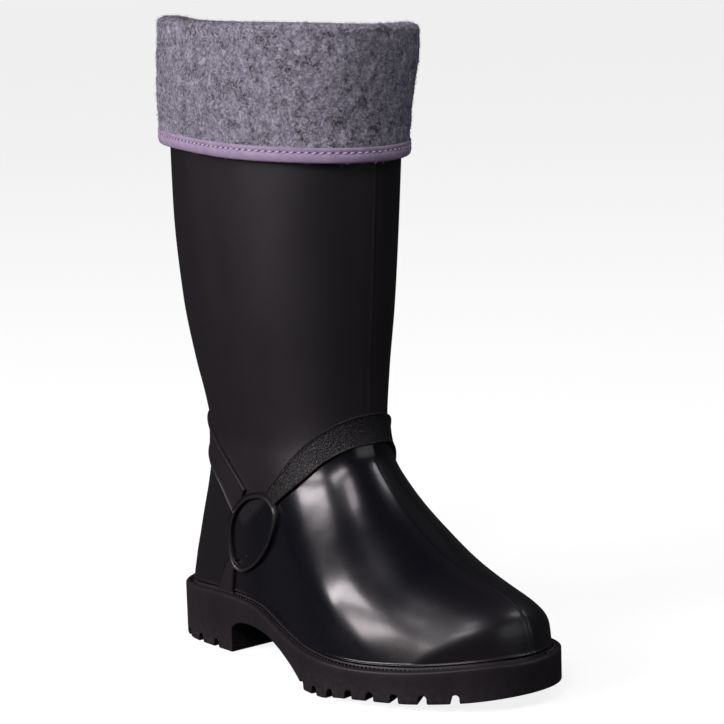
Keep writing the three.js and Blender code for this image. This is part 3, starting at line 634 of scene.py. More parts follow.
def newModifierTree(name, inputs):
    tree = bpy.data.node_groups.new(name, "GeometryNodeTree")
    tree.interface.new_socket("Geometry", in_out="INPUT", socket_type="NodeSocketGeometry")
    tree.interface.new_socket("Geometry", in_out="OUTPUT", socket_type="NodeSocketGeometry")
    for label, kind, value in inputs:
        socket = tree.interface.new_socket(label, in_out="INPUT", socket_type=kind)
        if value is not None:
            socket.default_value = value
    return tree, tree.nodes.new("NodeGroupInput"), tree.nodes.new("NodeGroupOutput")


def finished(tree, instances, entry, leave):
    real = addNode(tree, "GeometryNodeRealizeInstances", {"Geometry": instances})
    smooth = addNode(tree, "GeometryNodeSetShadeSmooth", {"Geometry": real.outputs["Geometry"]})
    dressed = addNode(tree, "GeometryNodeSetMaterial", {"Geometry": smooth.outputs["Geometry"],
                                                        "Material": entry.outputs["Material"]})
    tree.links.new(dressed.outputs["Geometry"], leave.inputs["Geometry"])


def turnedBy(tree, rotation, euler):
    by = addNode(tree, "FunctionNodeEulerToRotation", {"Euler": euler})
    node = addNode(tree, "FunctionNodeRotateRotation", {
        "Rotation": rotation, "Rotate By": by.outputs["Rotation"]}, rotation_space="LOCAL")
    return node.outputs["Rotation"]


def makeBeadsTree():
    # rounded beads along a path: stitches, ribs, and the dark beads of painted shade in the needle holes
    tree, entry, leave = newModifierTree("beadsAlongPath", [
        ("Spacing", "NodeSocketFloat", 0.004), ("Size", "NodeSocketVector", (0.0027, 0.0011, 0.0008)),
        ("Slant", "NodeSocketFloat", 0.0), ("Material", "NodeSocketMaterial", None)])
    path = addNode(tree, "GeometryNodeMeshToCurve", {"Mesh": entry.outputs["Geometry"]})
    places = addNode(tree, "GeometryNodeCurveToPoints", {"Curve": path.outputs["Curve"],
                                                         "Length": entry.outputs["Spacing"]}, mode="LENGTH")
    outward = addNode(tree, "GeometryNodeInputNamedAttribute", {"Name": "outward"}, data_type="FLOAT_VECTOR")
    upright = addNode(tree, "FunctionNodeAlignRotationToVector", {
        "Vector": outward.outputs["Attribute"]}, axis="Z")
    along = addNode(tree, "FunctionNodeAlignRotationToVector", {
        "Rotation": upright.outputs["Rotation"], "Vector": places.outputs["Tangent"]},
        axis="X", pivot_axis="Z")
    slant = addNode(tree, "ShaderNodeCombineXYZ", {"Z": entry.outputs["Slant"]})
    turned = turnedBy(tree, along.outputs["Rotation"], slant.outputs["Vector"])
    bead = addNode(tree, "GeometryNodeMeshUVSphere", {"Segments": 8, "Rings": 5, "Radius": 0.5})
    beads = addNode(tree, "GeometryNodeInstanceOnPoints", {
        "Points": places.outputs["Points"], "Instance": bead.outputs["Mesh"],
        "Rotation": turned, "Scale": entry.outputs["Size"]})
    finished(tree, beads.outputs["Instances"], entry, leave)
    return tree


def makeHairTree():
    # short curved hairs over the marked part of a surface
    tree, entry, leave = newModifierTree("hairsOverFelt", [
        ("Hairs per Square Metre", "NodeSocketFloat", 250000.0), ("Smallest", "NodeSocketFloat", 0.6),
        ("Largest", "NodeSocketFloat", 1.3), ("Lift", "NodeSocketFloat", 0.5), ("Seed", "NodeSocketInt", 3),
        ("Hair", "NodeSocketObject", None), ("Material", "NodeSocketMaterial", None)])
    mark = addNode(tree, "GeometryNodeInputNamedAttribute", {"Name": "nap"}, data_type="FLOAT")
    density = mathNode(tree, "MULTIPLY", mark.outputs["Attribute"], entry.outputs["Hairs per Square Metre"])
    spread = addNode(tree, "GeometryNodeDistributePointsOnFaces", {
        "Mesh": entry.outputs["Geometry"], "Density": density, "Seed": entry.outputs["Seed"]})
    lift = addNode(tree, "ShaderNodeCombineXYZ", {"Y": entry.outputs["Lift"], "Z": 6.2832})
    spin = addNode(tree, "FunctionNodeRandomValue", {
        "Min": (0, 0, 0), "Max": lift.outputs["Vector"], "Seed": entry.outputs["Seed"]},
        data_type="FLOAT_VECTOR")
    turned = turnedBy(tree, spread.outputs["Rotation"], spin.outputs["Value"])
    size = addNode(tree, "FunctionNodeRandomValue", {
        2: entry.outputs["Smallest"], 3: entry.outputs["Largest"], "Seed": entry.outputs["Seed"]},
        data_type="FLOAT")
    hair = addNode(tree, "GeometryNodeObjectInfo", {"Object": entry.outputs["Hair"]})
    hairs = addNode(tree, "GeometryNodeInstanceOnPoints", {
        "Points": spread.outputs["Points"], "Instance": hair.outputs["Geometry"],
        "Rotation": turned, "Scale": size.outputs[1]})
    finished(tree, hairs.outputs["Instances"], entry, leave)
    return tree


def grown(name, host, tree, values):
    # the tree's result as a plain mesh of its own
    modifier = host.modifiers.new(name, "NODES")
    modifier.node_group = tree
    sockets = {item.name: item.identifier for item in tree.interface.items_tree
               if item.in_out == "INPUT"}
    for label, value in values.items():
        modifier[sockets[label]] = value
    depsgraph = bpy.context.evaluated_depsgraph_get()
    mesh = bpy.data.meshes.new_from_object(host.evaluated_get(depsgraph))
    host.modifiers.remove(modifier)
    mesh.name = name
    piece = bpy.data.objects.new(name, mesh)
    bpy.context.scene.collection.objects.link(piece)
    return piece


beadsTree, hairTree = makeBeadsTree(), makeHairTree()


def beadsAlong(name, path, outward, spacing, size, material, slant=0.0, closed=False):
    # path and outward are rows of points and directions, in millimetres
    count = len(path)
    edges = [(k, k + 1) for k in range(count - 1)] + ([(count - 1, 0)] if closed else [])
    mesh = bpy.data.meshes.new(name + "Path")
    mesh.from_pydata((np.asarray(path) / 1000).tolist(), edges, [])
    layer = mesh.attributes.new("outward", "FLOAT_VECTOR", "POINT")
    layer.data.foreach_set("vector", np.ascontiguousarray(outward, dtype=np.float32).ravel())
    host = bpy.data.objects.new(name + "Path", mesh)
    bpy.context.scene.collection.objects.link(host)
    piece = grown(name, host, beadsTree, {
        "Spacing": spacing / 1000, "Size": [value / 1000 for value in size], "Slant": slant,
        "Material": material})
    bpy.data.objects.remove(host)
    return piece


# The moulded body

# turn as a share of half a turn, and how far the felt's fold stands above the level collar there
foldHeights = [
    (0, -4.2), (0.06, -2.1), (0.125, -0.8), (0.25, 0), (0.5, 0), (0.625, 0.5), (0.7, 1.8), (0.8, 2.2),
    (0.9, 2.2), (1.0, 1.7), (1.1, 1.0), (1.25, 0), (1.31, -1.0), (1.375, -2.3), (1.44, -3.5),
    (1.5, -4.2), (1.56, -4.8), (1.69, -5.6), (1.81, -5.9), (1.94, -5.1), (2, -4.2)]
foldShares, foldRises = zip(*foldHeights)
foldRiseAt = curveThrough(np.array(foldShares) * np.pi, foldRises)

bodyLook = {"columns": 248, "rows": 150, "innerRows": 46, "rimHeight": 1.2, "rimSteps": 6,
            "ridgeHeight": 0.45, "ridgeWidth": 0.7, "toeRidge": 0.2, "toeGroove": 0.45, "toeLineTop": 74,
            "footRound": 0.8, "tuck": 0.9, "lip": 0.55, "lipHeight": 1.0, "lipWidth": 0.55, "glossEdge": 6}
# how far the first rows stand above the body's foot, in millimetres of its height
footSteps = np.array([0.15, 0.35, 0.55, 0.75, 0.95, 1.15, 1.35, 1.6, 1.9, 2.3, 2.8, 3.4])
heightOverall = 330
# how glossy the foot is along its length
shineRows = ([60, 90, 205, 252], [0.30, 1.0, 1.0, 0.45])


def fromLine(turns):
    # how far each turn is from the nearer mould line, in radians
    return np.abs(np.mod(turns + np.pi / 2, np.pi) - np.pi / 2)


def bodyTurns(count):
    # even round the boot, with a few more beside the two mould lines
    count = int(count * fineness)
    even = np.arange(count) * 2 * np.pi / count
    extra = np.array([0.007, 0.015, 0.03])
    kept = even[(fromLine(even) > 0.04) | (fromLine(even) < 1e-6)]
    return np.sort(np.concatenate([kept, np.pi + extra, np.pi - extra, extra, 2 * np.pi - extra]))


def mouldLine(turns, heights):
    # how far the mould line stands out: a ridge, with a groove beside it at the toe
    flat = bodyPoint(turns[None, :], heights)[..., 0]
    inFront = np.abs(turns - np.pi)[None, :] < 0.2
    side = np.where(inFront, flat - flat[:, np.argmin(np.abs(turns - np.pi))][:, None], flat)
    atToe = smoothStep(bodyLook["toeLineTop"] - heights, 0, 14) * inFront
    ridge = (bodyLook["ridgeHeight"] + bodyLook["toeRidge"] * atToe) * np.exp(
        -(side / bodyLook["ridgeWidth"]) ** 2)
    ridge = ridge - bodyLook["toeGroove"] * atToe * np.exp(-((side - 1.1) / 0.5) ** 2)
    return np.where((fromLine(turns) < 0.1)[None, :], ridge, 0)


def evened(outer, turns, above):
    # the side of the toe without the bend where the front's rounding ends
    aside = np.minimum(np.abs(turns - np.pi) / 0.35, 1) ** 2
    share = smoothStep(last["heelLength"] / 2 - outer[..., 1], 165, 205) * aside[None, :]
    share = share * smoothStep(above, 2, 9)
    for part in [0.30, -0.31] * 24:
        beside = (np.roll(outer, 1, 1) + np.roll(outer, -1, 1)) / 2
        along = outer.copy()
        along[1:-1] = (outer[2:] + outer[:-2]) / 2
        outer = outer + (part * share)[..., None] * (beside + along - 2 * outer)
    return outer


def glossOf(points):
    # the mould is polished below the harness and matt above it
    p, z = heelEnd - points[:, 1], points[:, 2]
    edge = np.where(p > 104, sideEdge(frontStrapFoot)(p), np.interp(p, [76, 104], [74, 95]))
    edge = np.where(p < 76, sideEdge(backStrapFoot)(p), edge)
    return np.interp(p, *shineRows) * smoothStep(edge + 4 - z, 0, bodyLook["glossEdge"])


def makeBody():
    turns = bodyTurns(bodyLook["columns"])
    low = levelHeights(turns, 0, featherAt) + last["fitGap"]
    high = levelHeights(turns, 0, collarAt) + np.minimum(foldRiseAt(turns), 0)
    shares = levelShares(int(bodyLook["rows"] * fineness))
    upwards = shares[shares > 4 / heightOverall]
    shares = np.sort(np.concatenate([shares[:1], footSteps / heightOverall, upwards]))
    top = high - bodyLook["rimHeight"]
    heights = low + (top - low) * shares[:, None]
    above = heights - low
    lift = np.clip(above / bodyLook["footRound"], 0, 1)
    tuck = -bodyLook["tuck"] * (1 - np.sqrt(1 - (1 - lift) ** 2))
    # a small rounded lip where the body meets the sole
    lip = bodyLook["lip"] * np.exp(-((above - bodyLook["lipHeight"]) / bodyLook["lipWidth"]) ** 2)
    outer = offsetPoint(turns[None, :], heights, mouldLine(turns, heights) + tuck + lip)
    outer = evened(outer, turns, above)
    wall = last["wall"]
    rim = [offsetPoint(turns, top + bodyLook["rimHeight"] * np.sin(angle),
                       -wall / 2 + wall / 2 * np.cos(angle))
           for angle in np.linspace(0, np.pi, bodyLook["rimSteps"] + 1)[1:-1]]
    innerHeights = low + (top - low) * levelShares(bodyLook["innerRows"])[::-1][:, None]
    inner = offsetPoint(turns[None, :], innerHeights, -wall)
    piece = latticePiece("bootBody", np.concatenate([outer, np.array(rim), inner]), bodyMaterial,
                         wrapsRows=True)
    points = np.empty(len(piece.data.vertices) * 3)
    piece.data.vertices.foreach_get("co", points)
    markPoints(piece, "gloss", glossOf(points.reshape(-1, 3) * 1000))
    return piece


body = makeBody()
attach(body, "root")
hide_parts("upper")
print("body made")

# The ankle harness: a front strap and a back strap that run into a ring, and a strap down to the heel

harness = {"strapRise": 1.7, "strapRound": 0.7, "sunk": 0.5, "rimHeight": 0.5, "rimWidth": 1.5,
           "heelStrapTop": 0.432, "ringRise": 2.3, "ringBand": 3.6, "ringGloss": 0.12,
           "stitchPitch": 3.1, "stitchSize": (2.0, 0.7, 0.55), "stitchShares": (0.13, 0.87)}
frontStrap = {"top": frontStrapTop, "foot": frontStrapFoot, "topStart": 0.395, "footStart": 0.415,
              "middle": np.pi}
backStrap = {"top": backStrapTop, "foot": backStrapFoot, "topStart": 0.311, "footStart": 0.264,
             "middle": 0.0}


def sideTurn(p, z):
    share = np.clip((p - backAt(z)) / (frontAt(z) - backAt(z)), 0, 1)
    return np.arccos(1 - 2 * share)


def edgeHeights(turn, edge):
    # the heights at which an edge drawn in the side view passes each turn
    z = edge(reachOf(turn, np.full(len(turn), 110.0)))
    for _ in range(60):
        z = (z + edge(reachOf(turn, z))) / 2
    return z


def stripProfile(width, count):
    # across a strap: distance from one edge, and how far the face stands out there
    share = (1 - np.cos(np.linspace(0, np.pi, count))) / 2
    away = np.minimum(share, 1 - share) * width
    edge = np.clip(away / harness["strapRound"], 0, 1)
    rise = harness["strapRise"] * np.sqrt(np.clip(1 - (1 - edge) ** 2, 0, 1))
    rim = harness["rimHeight"] * np.exp(-((away - harness["rimWidth"] / 2) / 0.55) ** 2)
    return share, rise + rim - harness["sunk"] * (away <= 0)


def strapGrid(turnTop, zTop, turnFoot, zFoot):
    width = np.linalg.norm(bodyPoint(turnTop, zTop) - bodyPoint(turnFoot, zFoot), axis=1)
    share, rise = stripProfile(float(np.median(width)), 25)
    turn = turnTop + (turnFoot - turnTop) * share[:, None]
    z = zTop + (zFoot - zTop) * share[:, None]
    face = offsetPoint(turn, z, rise[:, None])
    under = offsetPoint(turn[::-1][1:-1], z[::-1][1:-1], -harness["sunk"])
    return np.concatenate([face, under])


def strapEdge(strap, side, count):
    # the turns and heights of a strap's upper or lower edge, from its end to the middle
    edge, reach = sideEdge(strap[side]), strap[side + "Start"] * last["footLength"]
    turn = strap["middle"] + (sideTurn(reach, edge(reach)) - strap["middle"]) * np.linspace(1, 0, count)
    return turn, edgeHeights(turn, edge)


def mirrored(strap, turn, z):
    return np.concatenate([turn, (2 * strap["middle"] - turn)[::-1][1:]]), np.concatenate([z, z[::-1][1:]])


def makeStrap(name, strap, material):
    turnTop, zTop = mirrored(strap, *strapEdge(strap, "top", 90))
    turnFoot, zFoot = mirrored(strap, *strapEdge(strap, "foot", 90))
    return latticePiece(name, strapGrid(turnTop, zTop, turnFoot, zFoot), material,
                        wrapsRows=True, wrapsColumns=False, capped=True)


def strapLine(strap, share, out):
    # a line along a strap at a share of its width, with the direction it faces
    turnTop, zTop = strapEdge(strap, "top", 160)
    turnFoot, zFoot = strapEdge(strap, "foot", 160)
    turn, z = mirrored(strap, turnTop + (turnFoot - turnTop) * share, zTop + (zFoot - zTop) * share)
    return offsetPoint(turn, z, out), bodyNormal(turn, z)


def closedCurve(rows, count):
    # a smooth closed curve through points, evenly spaced
    points = np.array(rows) * [last["footLength"], last["ankleHeight"]]
    number = len(points)
    t = np.linspace(0, number, number * 60, endpoint=False)
    k, f = t.astype(int), (t % 1)[:, None]
    a, b, c, d = (points[(k + shift) % number] for shift in (-1, 0, 1, 2))
    dense = 0.5 * (2 * b + (c - a) * f + (2 * a - 5 * b + 4 * c - d) * f ** 2
                   + (3 * b - a - 3 * c + d) * f ** 3)
    walked = np.concatenate([[0], np.cumsum(np.linalg.norm(np.roll(dense, -1, 0) - dense, axis=1))])
    dense = np.vstack([dense, dense[:1]])
    even = np.linspace(0, walked[-1], count, endpoint=False)
    return np.stack([np.interp(even, walked, dense[:, 0]), np.interp(even, walked, dense[:, 1])], 1)


def onSide(turn, isOuter):
    return turn if isOuter else 2 * np.pi - turn


def makeRing(name, isOuter):
    middle = closedCurve(ringRows, 180)
    tangent = np.roll(middle, -1, 0) - np.roll(middle, 1, 0)
    tangent /= np.linalg.norm(tangent, axis=1)[:, None]
    normal = np.stack([tangent[:, 1], -tangent[:, 0]], 1)
    # a flat band with a thin raised line along each edge
    section = [(-1, -0.15), (-1, 0.5), (-0.95, 0.85), (-0.8, 1.0), (-0.62, 0.93), (-0.45, 0.74), (0, 0.70),
               (0.45, 0.74), (0.62, 0.93), (0.8, 1.0), (0.95, 0.85), (1, 0.5), (1, -0.15)]
    rows = []
    for across, lift in section:
        point = middle + normal * (harness["ringBand"] / 2) * across
        turn = onSide(sideTurn(point[:, 0], point[:, 1]), isOuter)
        rows.append(offsetPoint(turn, point[:, 1], harness["ringRise"] * lift))
    ring = latticePiece(name, np.array(rows), bodyMaterial, wrapsRows=True)
    markPoints(ring, "gloss", np.full(len(ring.data.vertices), harness["ringGloss"]))
    return ring


def makeHeelStrap(name, isOuter):
    scales = [[last["ankleHeight"]], [last["footLength"]]]
    backEdge = curveThrough(*np.array(heelStrapBack).T * scales)
    frontEdge = curveThrough(*np.array(heelStrapFront).T * scales)
    top = harness["heelStrapTop"] * last["ankleHeight"]
    foot = featherAt(frontEdge(np.linspace(0.2 * last["ankleHeight"], top, 40))).max() + last["fitGap"]
    z = foot + (top - foot) * np.linspace(0, 1, 40)
    turns = [onSide(sideTurn(edge(z), z), isOuter) for edge in (backEdge, frontEdge)]
    return latticePiece(name, strapGrid(turns[0], z, turns[1], z), bodyMaterial,
                        wrapsRows=True, wrapsColumns=False, capped=True)


def ringMark(name, along, height, size, slant, isOuter):
    # a small moulded mark inside the ring: one bead on a path shorter than the beads' spacing
    z = np.full(2, height * last["ankleHeight"])
    turn = onSide(sideTurn(along * last["footLength"], z[0]), isOuter) + np.array([0, 0.004])
    return beadsAlong(name, offsetPoint(turn, z, 0.1), bodyNormal(turn, z), 900, size, harnessMaterial, slant)


stitchLines = [
    beadsAlong("strapStitches", *strapLine(frontStrap, share, harness["strapRise"] + 0.02),
               harness["stitchPitch"], harness["stitchSize"], harnessMaterial)
    for share in harness["stitchShares"]]
ringMarks = [
    ringMark(name + side, along, height, size, slant, isOuter)
    for isOuter, side in ((True, "Outer"), (False, "Inner"))
    for name, along, height, size, slant in (
        ("slit", 0.318, 0.680, (1.0, 4.2, 1.0), 0.25), ("dot", 0.300, 0.455, (1.6, 1.6, 1.0), 0.0))]

harnessPiece = joined("harness", stitchLines + ringMarks + [
    makeStrap("frontStrap", frontStrap, harnessMaterial), makeStrap("backStrap", backStrap, bodyMaterial),
    makeRing("outerRing", True), makeRing("innerRing", False),
    makeHeelStrap("outerHeelStrap", True), makeHeelStrap("innerHeelStrap", False)])
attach(harnessPiece, "root")
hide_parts("upper")
print("harness made")

# The outsole

sole = {"lugPitch": 13.5, "heelLugPitch": 15.7, "lugGap": 4.6, "lugDepth": 4.8, "spacing": 2.3,
        "edgeTop": 2.2, "edgeRows": 8, "treadSteps": 14, "seatSteps": 4, "parting": (1.6, 1.2),
        "ribStart": 66, "ribOut": 1.3, "ribDrop": 1.1, "ribPitch": 2.6, "ribSize": (1.35, 2.6, 1.9)}
# the ledge from under the body to the edge: how far out, and how far below the body's foot
ledgeRows = [(-3.0, 0.0), (-0.3, 0.0), (0.1, 0.9), (0.4, 1.55), (1.3, 1.7), (1.9, 1.5), (2.3, 0.9),
             (2.8, 0.62), (3.4, 0.62), (4.1, 0.95), (4.5, 1.2), (4.8, 1.5), (5.02, 1.82), (5.1, 2.2)]
# the lugs from the edge inwards: how far in, how far above the underside, and the share of the notch left
lugRows = [(0.06, 0.5, 1), (0.25, 0.2, 1), (0.55, 0.04, 1), (1.0, 0, 1), (3, 0, 1), (6, 0, 1), (9, 0, 1),
           (12, 0, 1), (15, 0, 1), (17.5, 0, 1), (18.6, 0, 1), (18.85, 0, 0.8), (18.95, 0, 0.1), (19.1, 0, 0)]
# the heel's breast: how far in front of it, and the height of the underside there
breastRows = [(-1.6, 0.0), (-0.7, 0.06), (-0.25, 0.3), (-0.06, 1.0), (0.0, 12.6), (0.25, 14.2), (0.9, 15.3),
              (2.0, 16.1)]
breastOffsets = np.array([row[0] for row in breastRows])
# columns on one half of a notch, from its edge inwards
notchEdge = np.array([-0.7, -0.3, -0.12, -0.03, 0, 0.1, 0.35, 0.8, 1.5, 2.3])


def levelOut(line):
    # level directions square to a closed line that starts at the back and goes round by the outer side
    around = np.roll(line, -1, 0)[:, :2] - np.roll(line, 1, 0)[:, :2]
    around /= np.linalg.norm(around, axis=1)[:, None]
    out = np.stack([around[:, 1], -around[:, 0]], 1)
    return -out if out[len(line) // 4, 0] > 0 else out


def soleOutline():
    # dense feather line with the way out square to it
    turn = np.linspace(0, 2 * np.pi, 1441)[:-1]
    point = bodyPoint(turn, levelHeights(turn, 0, featherAt))
    return point, levelOut(point)


def soleColumns():
    # places along the edge on each side, denser where a notch or the heel's breast is cut
    point, out = soleOutline()
    edge = point[:, :2] + out * last["ledgeWidth"]
    half = len(edge) // 2
    heelCount = int((last["heelLength"] - sole["lugGap"]) // sole["heelLugPitch"]) - 1
    frontCount = int((last["footLength"] - archEnd) // sole["lugPitch"])
    marks = [(breast - sole["heelLugPitch"] * (i + 1), "notch") for i in range(heelCount)]
    marks += [(archEnd + sole["lugPitch"] * (i - 0.2), "notch") for i in range(frontCount)]
    marks = sorted(marks + [(breast, "breast")])
    gap = sole["lugGap"] / 2
    offsetsOf = {"notch": np.concatenate([-gap + notchEdge, (gap - notchEdge)[::-1][1:]]),
                 "breast": breastOffsets, "end": np.array([0.0])}
    result, counts = [], []
    for isFirst in (True, False):
        order = np.arange(0, half + 1) if isFirst else (-np.arange(0, half + 1)) % len(edge)
        line = edge[order]
        walked = np.concatenate([[0], np.cumsum(np.linalg.norm(np.diff(line, axis=0), axis=1))])
        reach = heelEnd - line[:, 1]
        peak = int(reach.argmax())
        start = int(np.argmin(reach[:peak]))
        places = [(np.interp(p, reach[start:peak + 1], walked[start:peak + 1]), kind) for p, kind in marks]
        # each column: its place, the place of its mark, the mark's kind and how far off the mark it is
        filled, cursor = [], 0.0
        for number, (s, kind) in enumerate(places + [(walked[-1], "end")]):
            offsets = offsetsOf[kind]
            length = s + offsets[0] - cursor
            if isFirst:
                counts.append(max(1, int(round(length / sole["spacing"]))))
            for t in np.arange(1 if number else 0, counts[number]):
                between = cursor + length * t / counts[number]
                filled.append((between, between, None, 0.0))
            filled += [(s + offset, s, kind, float(offset)) for offset in offsets]
            cursor = s + offsets[-1]
        s, source = (np.array([column[k] for column in filled]) for k in (0, 1))
        outs = np.stack([np.interp(source, walked, out[order][:, k]) for k in (0, 1)], 1)
        place = np.stack([np.interp(s, walked, line[:, k]) for k in (0, 1)], 1)
        for i, (_, mark, kind, offset) in enumerate(filled):
            if kind == "notch":
                # a notch is straight, so its columns are parallel
                tangent = np.array([-outs[i, 1], outs[i, 0]])
                middle = np.array([np.interp(mark, walked, line[:, k]) for k in (0, 1)])
                away = place[i] - middle
                sign = np.sign(away @ tangent) if abs(offset) > 1e-6 else 1
                place[i] = middle + tangent * sign * abs(offset) + outs[i] * (away @ outs[i])
            if kind == "breast":
                outs[i] = np.sign(outs[i, 0]), 0.0
                place[i, 1] = heelEnd - (breast + offset)
        result.append((place, outs, filled, featherAt(heelEnd - place[:, 1])))
    return result


def notchHeight(offset):
    # how high the underside is above the tread at a distance from a notch's middle
    gap, depth = sole["lugGap"] / 2, sole["lugDepth"]
    offset = abs(offset)
    if offset <= gap:
        return depth - gap + np.sqrt(max(gap * gap - offset * offset, 0))
    outside = curveThrough([0, 0.03, 0.12, 0.3, 0.7], [2.5, 1.2, 0.45, 0.12, 0])
    return float(outside(offset - gap)) if offset < gap + 0.7 else 0.0


def makeOutsole():
    first, second = soleColumns()
    place, out, feather = (np.concatenate([first[k], second[k][1:-1][::-1]]) for k in (0, 1, 3))
    kinds = first[2] + second[2][1:-1][::-1]
    count = len(place)
    reach = heelEnd - place[:, 1]
    inNotch, inBreast = (np.array([column[2] == kind for column in kinds]) for kind in ("notch", "breast"))
    offsets = np.array([column[3] for column in kinds])
    notch = np.array([notchHeight(offset) for offset in offsets]) * inNotch
    notchFloor = np.where(inNotch & (reach > archEnd), springAt(reach), 0.0)
    breastHeight = curveThrough(*zip(*breastRows))(offsets)

    def underside(xy, share=1.0):
        base = np.where(inBreast, breastHeight, treadAt(heelEnd - xy[:, 1]))
        return np.where(notch > 0, np.maximum(base, notchFloor + notch * share), base)

    def row(outward, height):
        return np.column_stack([place + out * (outward - last["ledgeWidth"]), height])

    rows = [row(outward, feather - drop) for outward, drop in ledgeRows]
    top = feather - sole["edgeTop"]
    bottom = underside(place) + 0.9
    for share in np.linspace(0, 1, sole["edgeRows"] + 1)[1:]:
        rows.append(row(last["ledgeWidth"], top + (bottom - top) * share))
    for inward, lift, share in lugRows:
        xy = place - out * inward
        rows.append(np.column_stack([xy, underside(xy, share) + lift]))
    grid = np.array(rows)
    index, _, _, quads = latticeQuads(len(grid), count)
    points, faces = [grid.reshape(-1, 3)], quads.tolist()
    # the middle of the tread and the seat under the body: strips from the outer side to the inner side
    half = len(first[0]) - 1
    number = len(grid) * count
    for start, isSeat, steps in ((len(grid) - 1, False, sole["treadSteps"]), (0, True, sole["seatSteps"])):
        left, right = index[start, :half + 1], index[start, (-np.arange(half + 1)) % count]
        lines = []
        for k in range(half + 1):
            if left[k] == right[k]:
                lines.append([left[k]] * (steps + 1))
                continue
            a, b = grid[start, k], grid[start, (-k) % count]
            inner = a + (b - a) * (np.arange(1, steps) / steps)[:, None]
            if not isSeat:
                inner[:, 2] = a[2] if inBreast[k] else treadAt(heelEnd - inner[:, 1])
            points.append(inner)
            lines.append([left[k]] + list(range(number, number + steps - 1)) + [right[k]])
            number += steps - 1
        for near, far in zip(lines[:-1], lines[1:]):
            for m in range(steps):
                quad = list(dict.fromkeys([near[m], near[m + 1], far[m + 1], far[m]]))
                if len(quad) > 2:
                    faces.append(quad[::-1] if isSeat else quad)
    points = np.concatenate(points) / 1000
    return meshPiece("outsoleFine", points, facingOut(points, faces, 12 * count + count // 4), soleMaterial,
                     None, 40)


def makeWeltRibs():
    # ribs on the ledge from the arch to the toe; smooth round the heel and for a short way beside the toe
    point, out = soleOutline()
    p = heelEnd - point[:, 1]
    half = np.arange(0, len(point) // 2 + 1)
    ribs = []
    for number, (order, until) in enumerate(((half, 0.93), (-half % len(point), 0.99))):
        kept = order[(p[order] > sole["ribStart"]) & (p[order] < until * last["footLength"])]
        path = point[kept].copy()
        path[:, :2] += out[kept] * sole["ribOut"]
        path[:, 2] -= sole["ribDrop"]
        upwards = np.tile([0.0, 0.0, 1.0], (len(path), 1))
        ribs.append(beadsAlong("weltRibs" + str(number), path, upwards, sole["ribPitch"], sole["ribSize"],
                               soleMaterial))
    return ribs


def makeSoleLine():
    # the mould's parting line down the front of the sole
    point, out = soleOutline()
    front = int(np.argmin(point[:, 1]))
    place, away = point[front], out[front]
    side = np.array([-away[1], away[0]])
    rows = []
    top = place[2] - sole["parting"][0]
    low = float(springAt(heelEnd - place[1] + last["ledgeWidth"])) + sole["parting"][1]
    for z in np.linspace(top, low, 9):
        row = []
        for across, proud in ((-0.55, -0.2), (-0.35, 0.22), (0.0, 0.38), (0.35, 0.22), (0.55, -0.2)):
            reach = last["ledgeWidth"] + proud
            row.append([*(place[:2] + away * reach + side * across), z])
        rows.append(row)
    return latticePiece("soleLine", np.array(rows).transpose(1, 0, 2), soleMaterial, wrapsRows=True,
                        wrapsColumns=False, capped=True)


outsole = joined("outsoleFine", [makeOutsole(), makeSoleLine()] + makeWeltRibs())
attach(outsole, "root")
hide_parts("outsole")
print("outsole made", len(outsole.data.polygons))

# The felt sock with its cuff, the tape and the sole piece

felt = {"thickness": 2.8, "cuffLength": 68, "standoff": 1.6, "foldClearance": 0.5, "columns": 240,
        "insideRows": 56, "outsideRows": 20, "foldRows": 14, "cuffRows": 36, "wave": 0.9, "lumps": 0.22,
        "bulge": 4.0, "seed": 5, "hairs": 230000, "hairRadius": 0.00007, "hairLength": 0.0032}
# the tape's hole beads are dark beads of painted shade in the needle holes, sized here
tape = {"width": 8, "thickness": 0.7, "stitchPitch": 4.2, "stitchSize": (2.8, 1.15, 0.9),
        "holeShadeSize": (1.1, 0.9, 0.3)}

chance = np.random.default_rng(felt["seed"])


def waveSet(count, fewest, most, rate, smallest):
    # waves that run round and up the sock: number, rate, phase and size
    return [(chance.integers(fewest, most), chance.uniform(-rate, rate), chance.uniform(0, 6.28),
             chance.uniform(smallest, 1)) for _ in range(count)]


waveParts = waveSet(9, 1, 7, 0.04, 0.3)
lumpParts = waveSet(40, 18, 70, 0.5, 0.4)


def summed(parts, turn, z):
    total = sum(size * np.sin(number * turn + rate * z + phase) for number, rate, phase, size in parts)
    return total / np.sqrt(sum(part[3] ** 2 for part in parts) / 2)


def waveAt(turn, z):
    return felt["wave"] * (summed(waveParts, turn, z) + 0.6)


def feltTurns():
    count = int(felt["columns"] * fineness)
    return np.arange(count) * 2 * np.pi / count


def cuffFootAt(p):
    return collarAt(p) - felt["cuffLength"]


def bulgeAt(turn, z, top):
    # the fold is puffed out on the inner front corner, most at the top
    around = np.exp(-((turn - 1.21 * np.pi) / (0.15 * np.pi)) ** 2)
    return felt["bulge"] * around * np.exp(-((top - z) / 30) ** 2)


